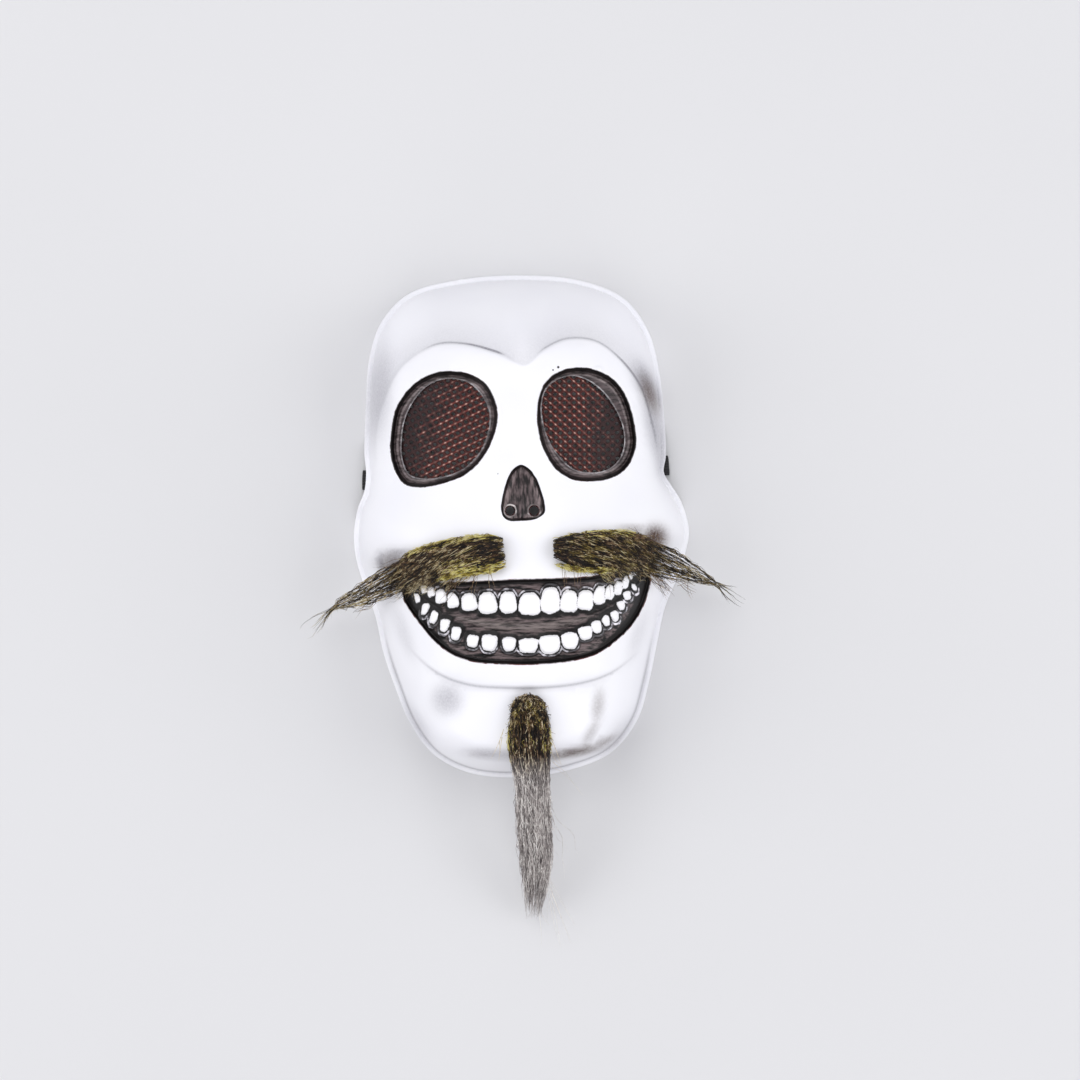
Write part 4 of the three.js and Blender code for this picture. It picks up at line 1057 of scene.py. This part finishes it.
def comb(tuft, count, starts, lengths, across, drift, limit, levels, frizz, wave):
    """Paths of strands, with their places along and across the tuft.

    Starts and lengths are shares of the tuft. Across and drift are shares of its half width, and a strand
    ends early where it has come to its limit across. Frizz and wave are in millimetres.
    """
    share = np.linspace(0, 1, STEPS)[None]
    first = between(across, count)
    wide = between(drift, count)
    root = between(starts, count)
    length = between(lengths, count)
    room = (between(limit, count) - np.sign(wide) * first) / abs(wide)
    kept = np.clip(np.minimum(room, (0.995 - root) / length), 0.12, 1)
    t = root + kept * length * share
    u = first + kept * wide * share
    lock = np.round(u * LOCKS)
    centre = (lock + 0.25 * np.sin(1.7 * lock + 9 * t)) / LOCKS
    u += (centre - u) * GATHERING * smooth(*tuft["locks"], t)
    place = t, u.copy()
    u *= along(tuft["fullness"], np.clip(t, 0, 1).ravel()).reshape(t.shape)
    level = between(levels, count) * (1 - 0.35 * share)
    paths = on_tuft(tuft, t.ravel(), tuft["down"] * u.ravel(), level.ravel()).reshape(count, STEPS, 3)
    travelled = np.linalg.norm(np.diff(paths, axis=1), axis=2).cumsum(axis=1)
    travelled = np.column_stack([np.zeros(count), travelled])
    for stretch in (1, 2.3):
        wavelength = wave * stretch * between((0.7, 1.3), count)
        turning = 2 * math.pi * travelled / wavelength + between((0, 7), count)
        sideways = rng.normal(size=(count, 1, 3)) * (1, 1, 0)
        swing = frizz * (0.4 + 0.6 * share) * np.sin(turning)
        paths += swing[..., None] * sideways * 0.7
        paths[..., 2] += 0.5 * frizz * (1 + np.sin(turning + 1.3)) * share
    paths[..., 2] = np.maximum(paths[..., 2], LOWEST_HAIR)
    return paths, place


def loose(start, end, count, spread, lowest=LOWEST_HAIR):
    """Paths of loose strands from about start to about end.

    Both are x, y and the height over the face or the floor. A strand that hangs clear of them keeps above its
    lowest height.
    """
    share = np.linspace(0, 1, STEPS)[None, :, None]
    apart = [spread * rng.normal(size=(count, 1, 3)) * (1, 1, 0.2) for _ in range(2)]
    first, last = start + apart[0], end + apart[1]
    paths = first + (last - first) * share
    paths += np.sin(math.pi * share) * rng.normal(size=(count, 1, 3)) * (0.7, 0.7, 0.2)
    ground = face_height(paths[..., :2].reshape(-1, 2)).reshape(count, STEPS)
    paths[..., 2] = np.maximum(paths[..., 2] + np.maximum(ground, 0), lowest)
    return paths


def between_knots(knots, t, u):
    """Values between the random ones on a net laid along and across a tuft."""
    down = np.clip(t, 0, 0.999) * (len(knots) - 1)
    aside = np.clip((u + 1) / 2, 0, 0.999) * (knots.shape[1] - 1)
    i, j = down.astype(int), aside.astype(int)
    a, b = down - i, aside - j
    return ((1 - a) * ((1 - b) * knots[i, j] + b * knots[i, j + 1])
            + a * ((1 - b) * knots[i + 1, j] + b * knots[i + 1, j + 1]))


def strands(paths, radius):
    """Points and triangles of a closed tapered tube of three sides along each path."""
    count, steps = paths.shape[:2]
    ahead = np.gradient(paths, axis=1)
    ahead /= np.linalg.norm(ahead, axis=2, keepdims=True)
    side = np.cross(ahead, (0.05, 0.05, 1))
    side /= np.linalg.norm(side, axis=2, keepdims=True)
    up = np.cross(side, ahead)
    taper = radius * between((0.75, 1.25), count) * (1 - 0.8 * np.linspace(0, 1, steps) ** 3)
    turns = 2 * math.pi * np.arange(3) / 3 + math.pi / 2
    ring = np.cos(turns)[:, None] * side[:, :, None] + np.sin(turns)[:, None] * up[:, :, None]
    points = (paths[:, :, None] + taper[..., None, None] * ring).reshape(-1, 3)
    faces = []
    for corner in range(3):
        following = (corner + 1) % 3
        for a, b, c in ((corner, 3 + corner, 3 + following), (corner, 3 + following, following)):
            faces += [(a + 3 * step, b + 3 * step, c + 3 * step) for step in range(steps - 1)]
    last = 3 * (steps - 1)
    faces += [(0, 1, 2), (last + 2, last + 1, last)]
    starts = 3 * steps * np.arange(count)
    return points, (np.array(faces)[None] + starts[:, None, None]).reshape(-1, 3)


def outward(points, faces):
    """The faces, turned round if they enclose a negative volume."""
    a, b, c = (points[faces[:, k]] for k in range(3))
    return faces if np.sum(a * np.cross(b, c)) > 0 else faces[:, ::-1]


def pad(tuft):
    """The dark pad under a tuft, as points and triangles of a low closed cushion."""
    rows, columns = 30, 9
    first, last = tuft["pad"]
    sides = np.linspace(first, last, rows), np.linspace(-0.76, 0.76, columns)
    t, u = (grid.ravel() for grid in np.meshgrid(*sides, indexing="ij"))
    tapered = 1 - (2 * (t - first) / (last - first) - 1) ** 6
    top = 0.4 * np.sqrt(np.clip(tapered, 0, 1)) * (1 - 0.6 * u**4)
    u *= np.clip(tapered, 0.1, 1) ** 0.4
    points = np.vstack([on_tuft(tuft, t, u, top + 0.06), on_tuft(tuft, t, u, 0 * u)])
    return points, closed_grid(rows, columns)


print("a strand has", len(strands(np.cumsum(np.ones((1, STEPS, 3)), axis=1), 1)[1]), "triangles")

# %% Strands of each tuft
# Groups of strands: how many; their starts, lengths, across, drift, limit, levels, frizz and wave; then the
# radius in mm, the range of tones from black, 0, to pale, 1, and how yellow they are. The fringe along the
# upper edge and the fuzz along the lower one get their numbers of strands from the tuft.
MOUSTACHE_GROUPS = [
    (860, (0, 0.3), (0.15, 0.28), (-1, 0.3), (0.4, 1.2), (0.7, 1), (0.3, 1), 0.6, 8, 0.21, (0, 0.5), 0),
    (240, (0, 0.34), (0.14, 0.28), (-0.95, 0.3), (0.4, 1.2), (0.8, 1.04), (0.6, 1.05), 0.7, 7,
     0.16, (0.5, 1), 0.08),
    (430, (0, 0.07), (0.08, 0.2), (-1, 0.4), (0.1, 0.5), (0.9, 1.1), (0.5, 1.1), 0.5, 7, 0.22, (0, 0.2), 0),
    (260, (0.22, 0.42), (0.13, 0.24), (-1, 0.7), (0.1, 0.7), (0.8, 1), (0.3, 1), 0.7, 8,
     0.2, (0, 0.45), 0.04),
    (62, (0.38, 0.58), (0.16, 0.32), (-1, 1), (-0.2, 0.5), (1, 1.3), (0.1, 1), 0.8, 10, 0.19, (0, 0.6), 0.12),
    (36, (0.5, 0.66), (0.16, 0.3), (-1, 1.1), (-0.2, 0.4), (1, 1.4), (0.1, 1), 0.9, 9, 0.18, (0, 0.6), 0.3),
    (24, (0.7, 0.84), (0.1, 0.2), (-0.8, 0.9), (-0.2, 0.4), (1, 1.3), (0.2, 1), 0.6, 12, 0.16, (0, 0.4), 0.3),
    (80, (0.1, 0.42), (0.08, 0.2), (0.4, 0.95), (0.4, 1.1), (1, 1.7), (0.1, 0.7), 0.9, 9,
     0.12, (0.2, 0.9), 0.1),
    (60, (0.05, 0.7), (0.1, 0.3), (-0.9, 0.9), (0.5, 1.3), (1, 1.9), (0.5, 1.4), 1.5, 14, 0.1, (0.3, 1), 0.2),
]
FRINGE = (
    (0, 0.4), (0.05, 0.12), (-1.06, -0.74), (0, 0.2), (1.03, 1.14), (0.4, 1), 0.7, 5, 0.16, (0.4, 1), 0.85,
)
FUZZ_STARTS, FUZZ_LENGTHS = (0, 0.25), (0.04, 0.1)
FUZZ_REST = ((-0.05, 0.15), (1, 1.1), (0.4, 1), 0.7, 4, 0.17, (0.5, 1), 1)
GOATEE_GROUPS = [
    (760, (0, 0.24), (0.04, 0.11), (-1, 1), (-0.5, 0.5), (0.95, 1.1), (0.4, 1.1), 1.1, 4,
     0.2, (0, 0.5), 0.04),
    (700, (0.04, 0.34), (0.3, 0.52), (-0.98, 0.98), (-0.2, 0.2), (1, 1.1), (0.3, 1), 0.8, 7,
     0.2, (0, 0.6), 0),
    (260, (0.34, 0.6), (0.28, 0.42), (-0.98, 0.98), (-0.3, 0.3), (1, 1.15), (0.2, 1), 0.9, 7,
     0.2, (0, 0.7), 0),
    (340, (0.5, 0.62), (0.33, 0.4), (-0.98, 0.98), (-0.2, 0.2), (1, 1.15), (0.2, 1), 0.9, 7,
     0.2, (0, 0.7), 0),
    (300, (0.33, 0.8), (0.08, 0.2), (-1, 1), (-0.5, 0.5), (1, 1.15), (0.6, 1.1), 1.1, 6, 0.17, (0.7, 1), 0),
    (200, (0.2, 0.33), (0.05, 0.11), (0.74, 1.05), (-0.1, 0.1), (1, 1.2), (0.4, 0.9), 0.7, 5,
     0.17, (0.5, 1), 1),
    (200, (0.2, 0.33), (0.05, 0.11), (-1.05, -0.74), (-0.1, 0.1), (1, 1.2), (0.4, 0.9), 0.7, 5,
     0.17, (0.5, 1), 1),
    (60, (0.02, 0.3), (0.04, 0.1), (-0.75, 0.75), (-0.3, 0.3), (1, 1.1), (0.7, 1.1), 0.9, 4,
     0.16, (0.3, 0.9), 0.75),
    (110, (0, 0.12), (0.02, 0.06), (-1, 1), (-0.4, 0.4), (1, 1.1), (0.8, 1.15), 0.9, 4, 0.14, (0.9, 1), 0),
    (16, (0.5, 0.78), (0.2, 0.34), (-1, 1), (-0.8, 2.2), (3, 4), (0.3, 1.2), 1.4, 30, 0.11, (0.85, 1), 0),
]
CLUMPING, OLIVE = 0.8, 0.3
PAD_TONE = 0.08
LOOSE_RADIUS, LOOSE_TONE = 0.11, 0.62
GOATEE_LOOSE_RADIUS, GOATEE_LOOSE_TONE = 1.25 * LOOSE_RADIUS, 1.0
hairs = []
for name, tuft in TUFTS.items():
    points, faces = pad(tuft)
    made_points, made_faces = [points], [outward(points, faces)]
    tones, yellows = [np.full(len(points), PAD_TONE)], [np.zeros(len(points))]
    clumps, tints = rng.uniform(size=(64, 38)), rng.uniform(size=(34, 14))
    groups, loose_radius, loose_tone = GOATEE_GROUPS, GOATEE_LOOSE_RADIUS, GOATEE_LOOSE_TONE
    if name != "goatee":
        count, across = tuft["fuzz"]
        fuzz = (count, FUZZ_STARTS, FUZZ_LENGTHS, across, *FUZZ_REST)
        groups = [*MOUSTACHE_GROUPS, (tuft["fringe"], *FRINGE), fuzz]
        loose_radius, loose_tone = LOOSE_RADIUS, LOOSE_TONE
    for group in groups:
        count, *combing, radius, tone, yellow = group
        paths, (t, u) = comb(tuft, count, *combing)
        clumped = CLUMPING * (smooth(0.32, 0.68, between_knots(clumps, t, u)) - 0.42)
        shades = tuft["shade"] + between(tone, count) + clumped
        tinted = OLIVE * smooth(0.5, 0.75, between_knots(tints, t, u)) * smooth(*tuft["tinted"], t)
        yellowed = np.clip(yellow * between((0.6, 1), count) + tinted, 0, 1)
        points, faces = strands(paths, radius)
        made_faces.append(outward(points, faces) + sum(map(len, made_points)))
        made_points.append(points)
        tones.append(np.repeat(np.clip(shades, 0, 1), 3, axis=1).ravel())
        yellows.append(np.repeat(yellowed, 3, axis=1).ravel())
    for group in tuft["loose"]:
        points, faces = strands(loose(*group), loose_radius)
        made_faces.append(outward(points, faces) + sum(map(len, made_points)))
        made_points.append(points)
        tones.append(np.full(len(points), loose_tone))
        yellows.append(np.zeros(len(points)))
    hair = mesh_object(name + "_hair", np.vstack(made_points), np.vstack(made_faces).tolist())
    keep(hair, "tone", np.concatenate(tones))
    keep(hair, "yellow", np.concatenate(yellows))
    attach(hair, "root")
    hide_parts(name)
    hairs.append(hair)
    print(hair.name, len(hair.data.polygons), "triangles")

# %% [markdown]
# The finish of the hair.
#
# Artificial hair is a smooth modacrylic fibre, so it is a little shiny. Each strand has a tone of its own,
# from near black to pale brown, broken by the kinks of the fibre. The goatee is greyer where it hangs clear
# of the chin. The fuzz and the fringe are dyed lime yellow, darker where they are matted.

# %% Modacrylic fibre
modacrylic, tree, shader = new_material("modacrylic_fibre")
tone = add(tree, "Attribute", attribute_name="tone")
yellow = add(tree, "Attribute", attribute_name="yellow")
place = add(tree, "TexCoord").outputs["Object"]
mottled = add(tree, "TexNoise", [("Vector", place), ("Scale", 1 / (1.6 * MM)), ("Detail", 2)])
shifted = add(tree, "MapRange", [("Value", mottled.outputs["Fac"]), ("From Min", 0.3), ("From Max", 0.7),
                                 ("To Min", -0.25), ("To Max", 0.25)])
toned = add(tree, "Math", [(0, tone.outputs["Fac"]), (1, shifted.outputs["Result"])], operation="ADD",
            use_clamp=True)
brown = add(tree, "ValToRGB", [("Fac", toned.outputs[0])])
grey = add(tree, "ValToRGB", [("Fac", toned.outputs[0])])
lime = add(tree, "ValToRGB", [("Fac", toned.outputs[0])])
for ramp, shades in ((brown, ["#0c0706", "#231611", "#4a3526", "#8e7150", "#e6d8b6"]),
                     (grey, ["#8f8785", "#b0a9a6", "#cbc4c1", "#e2dcda", "#faf8f7"]),
                     (lime, ["#2e2414", "#6f5e29", "#b29e3f", "#ddcd5e", "#f5ee9e"])):
    elements = ramp.color_ramp.elements
    for i in range(1, len(shades) - 1):
        elements.new(i / (len(shades) - 1))
    for element, shade in zip(elements, shades):
        element.color = hex_colour(shade)
parts = add(tree, "SeparateXYZ", [("Vector", place)])
hanging = add(tree, "MapRange",
              [("Value", parts.outputs["Y"]), ("From Min", -78 * MM), ("From Max", -91 * MM),
               ("To Max", 0.85)])
natural = add(tree, "Mix", [(FACTOR, hanging.outputs["Result"]), (FIRST, brown.outputs["Color"]),
                            (SECOND, grey.outputs["Color"])], data_type="RGBA")
colour = add(tree, "Mix", [(FACTOR, yellow.outputs["Fac"]), (FIRST, natural.outputs[MIXED]),
                           (SECOND, lime.outputs["Color"])], data_type="RGBA")
rough = add(tree, "MapRange", [("Value", mottled.outputs["Fac"]), ("To Min", 0.5), ("To Max", 0.72)])
join(tree, shader,
     [("Base Color", colour.outputs[MIXED]), ("Roughness", rough.outputs["Result"]), ("IOR", 1.45)])
for hair in hairs:
    hair.data.materials.append(modacrylic)
print(modacrylic.name, "on", len(hairs), "tufts")

# %% [markdown]
# The elastic strap.
#
# A flat black elastic, 10 mm wide, is glued inside both temples, comes out under the two arches of the rim
# and lies slack inside the mask, in a bow behind the nose. Its line is the CAD model's. It is a band of many
# rows, thirteen points wide, whose middle is a little thicker than its edges, as braided elastic is.

# %% The strap
STRAP_WIDTH, STRAP_THICKNESS = 10, 1
STRAP_GLUED, STRAP_OUT = 14, 6.4
STRAP_LOWEST_Y, STRAP_TILT = 10, 1.35
STRAP_ROWS, STRAP_COLUMNS = 240, 13
STRAP_SHARES = [0.12, 0.2, 0.3, 0.4, 0.5, 0.6, 0.7, 0.8, 0.88]


def strap_end(x, y, out):
    """Down the temple wall, out under the arch and back on to the surface."""
    rest = STRAP_THICKNESS / 2
    return [
        (x - 2.2 * out, y, ARCH_HEIGHT + STRAP_GLUED), (x - 1.1 * out, y, ARCH_HEIGHT + STRAP_GLUED / 2),
        (x - 0.3 * out, y, ARCH_HEIGHT), (x + out, y, ARCH_HEIGHT - 1.8),
        (x + 0.7 * STRAP_OUT * out, y, ARCH_HEIGHT - 2.1), (x + STRAP_OUT * out, y, rest + 1.6),
        (x + 0.8 * STRAP_OUT * out, y, rest), (x, y, rest), (x - 7 * out, y, rest),
    ]


(left_x, left_y, left_lean), (right_x, right_y, right_lean) = STRAP_ENDS
shares = np.array(STRAP_SHARES)
drop = np.sin(math.pi * shares) ** 0.8 * smooth(0, 0.3, np.minimum(shares, 1 - shares))
level_y = left_y + (right_y - left_y) * shares
bow_y = level_y + (STRAP_LOWEST_Y - level_y) * drop
bow = np.column_stack([left_x + (right_x - left_x) * shares, bow_y, 0 * shares])
route = [*strap_end(left_x, left_y, -1), *bow.tolist(), *strap_end(right_x, right_y, 1)[::-1]]
share = np.linspace(0, 1, STRAP_ROWS)
middle = curve(route, share)
ahead = curve(route, share + 1e-4) - curve(route, share - 1e-4)
ahead /= np.linalg.norm(ahead, axis=1)[:, None]
width = np.column_stack([left_lean + (right_lean - left_lean) * share, 1 + 0 * share, 0 * share])
width -= ahead * np.sum(width * ahead, axis=1)[:, None]
width /= np.linalg.norm(width, axis=1)[:, None]
turn = STRAP_TILT * smooth(10, 36, np.minimum(middle[:, 0] - left_x, right_x - middle[:, 0]))[:, None]
width = width * np.cos(turn) + np.cross(ahead, width) * np.sin(turn)
face = np.cross(width, ahead)
lowest = (abs(width[:, 2]) * STRAP_WIDTH + abs(face[:, 2]) * STRAP_THICKNESS) / 2
middle[:, 2] = np.maximum(middle[:, 2], lowest + 0.02)
place_across = np.linspace(-0.5, 0.5, STRAP_COLUMNS)
half_thick = STRAP_THICKNESS / 2 * (1 - 0.55 * abs(2 * place_across) ** 6)
band = middle[:, None] + width[:, None] * (place_across * STRAP_WIDTH)[:, None]
rise = face[:, None] * half_thick[:, None]
strap_points = np.vstack([(band + rise).reshape(-1, 3), (band - rise).reshape(-1, 3)])
strap_faces = outward(strap_points, closed_grid(STRAP_ROWS, STRAP_COLUMNS))
strap = mesh_object("elastic_band", strap_points, strap_faces.tolist())
travelled = np.concatenate([[0], np.linalg.norm(np.diff(middle, axis=0), axis=1).cumsum()])
keep(strap, "run", np.tile(np.repeat(travelled, STRAP_COLUMNS), 2))
keep(strap, "across", np.tile(place_across * STRAP_WIDTH, 2 * STRAP_ROWS))
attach(strap, "root")
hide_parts("elastic_strap")
print("strap", round(travelled[-1]), "mm long")

# %% [markdown]
# The finish of the strap.
#
# Braided elastic has rubber cords along it, about 1.4 mm apart, wrapped in textured yarn. The band's own
# length and width in millimetres are attributes, so the cords follow every bend of it.

# %% Braided elastic
CORD_PITCH, YARN_PITCH = 1.4, 0.9
braided_elastic, tree, shader = new_material("braided_elastic")
run = add(tree, "Attribute", attribute_name="run")
across = add(tree, "Attribute", attribute_name="across")
cords = add(tree, "Math", [(0, across.outputs["Fac"]), (1, 2 * math.pi / CORD_PITCH)], operation="MULTIPLY")
cord = add(tree, "Math", [(0, cords.outputs[0])], operation="COSINE")
slanted = add(tree, "Math", [(0, run.outputs["Fac"]), (1, 0.8), (2, cord.outputs[0])],
              operation="MULTIPLY_ADD")
yarns = add(tree, "Math", [(0, slanted.outputs[0]), (1, 2 * math.pi / YARN_PITCH)], operation="MULTIPLY")
yarn = add(tree, "Math", [(0, yarns.outputs[0])], operation="SINE")
woven = add(tree, "Math", [(0, yarn.outputs[0]), (1, 0.4), (2, cord.outputs[0])], operation="MULTIPLY_ADD")
shade = add(tree, "MapRange", [("Value", woven.outputs[0]), ("From Min", -1.4), ("From Max", 1.4)])
colour = add(tree, "Mix", [(FACTOR, shade.outputs["Result"]), (FIRST, hex_colour("#0c0b0c")),
                           (SECOND, hex_colour("#2b292c"))], data_type="RGBA")
bump = add(tree, "Bump", [("Height", woven.outputs[0]), ("Strength", 0.6), ("Distance", 0.15 * MM)])
join(tree, shader,
     [("Base Color", colour.outputs[MIXED]), ("Normal", bump.outputs["Normal"]), ("Roughness", 0.85)])
strap.data.materials.append(braided_elastic)
print(braided_elastic.name, "ready")

# %% [markdown]
# The floor and the light.
#
# The mask lies on a plain pale floor. Four large soft boxes light it evenly: one beyond the forehead, one
# beyond the chin and one on each side. All are well off the camera's axis, so the glossy dark paint isn't
# veiled by their reflection. A faintly cool sky fills the shade, as the photograph's shade is a little
# lavender.

# %% Floor
FLOOR_WIDTH = 6
deselect_all()
bpy.ops.mesh.primitive_plane_add(size=FLOOR_WIDTH, location=(0, 0, 0))
floor = bpy.context.object
floor.name = "floor"
pale_board, tree, shader = new_material("pale_board")
place = add(tree, "TexCoord").outputs["Object"]
cloudy = add(tree, "TexNoise", [("Vector", place), ("Scale", 1 / (300 * MM)), ("Detail", 2)])
colour = add(tree, "Mix", [(FACTOR, cloudy.outputs["Fac"]), (FIRST, hex_colour("#dededf")),
                           (SECOND, hex_colour("#d9d9da"))], data_type="RGBA")
join(tree, shader, [("Base Color", colour.outputs[MIXED]), ("Roughness", 0.8)])
floor.data.materials.append(pale_board)
print("floor", floor.dimensions.x, "m wide")

# %% Light
SKY_COLOUR, SKY_STRENGTH = "#f1f1fa", 0.42
# Each light: name, place and width in metres, and power in watts.
LIGHTS = [
    ("key", (-0.35, 1.35, 1.75), 1.5, 16),
    ("side", (-1.6, -0.1, 1.0), 1.4, 13.5),
    ("fill", (1.6, 0.0, 1.0), 1.6, 16.5),
    ("front", (0.1, -1.4, 1.4), 1.5, 9.5),
]
for name, location, size, watts in LIGHTS:
    bpy.ops.object.light_add(type="AREA", location=location)
    light = bpy.context.object
    light.name = name
    light.data.size = size
    light.data.energy = watts
    light.rotation_euler = (-Vector(location)).to_track_quat("-Z", "Y").to_euler()
world = bpy.data.worlds.new("sky")
world.use_nodes = True
sky = world.node_tree.nodes["Background"]
sky.inputs["Color"].default_value = hex_colour(SKY_COLOUR)
sky.inputs["Strength"].default_value = SKY_STRENGTH
bpy.context.scene.world = world
bpy.context.scene.view_settings.view_transform = "Standard"
print(len(LIGHTS), "lights")
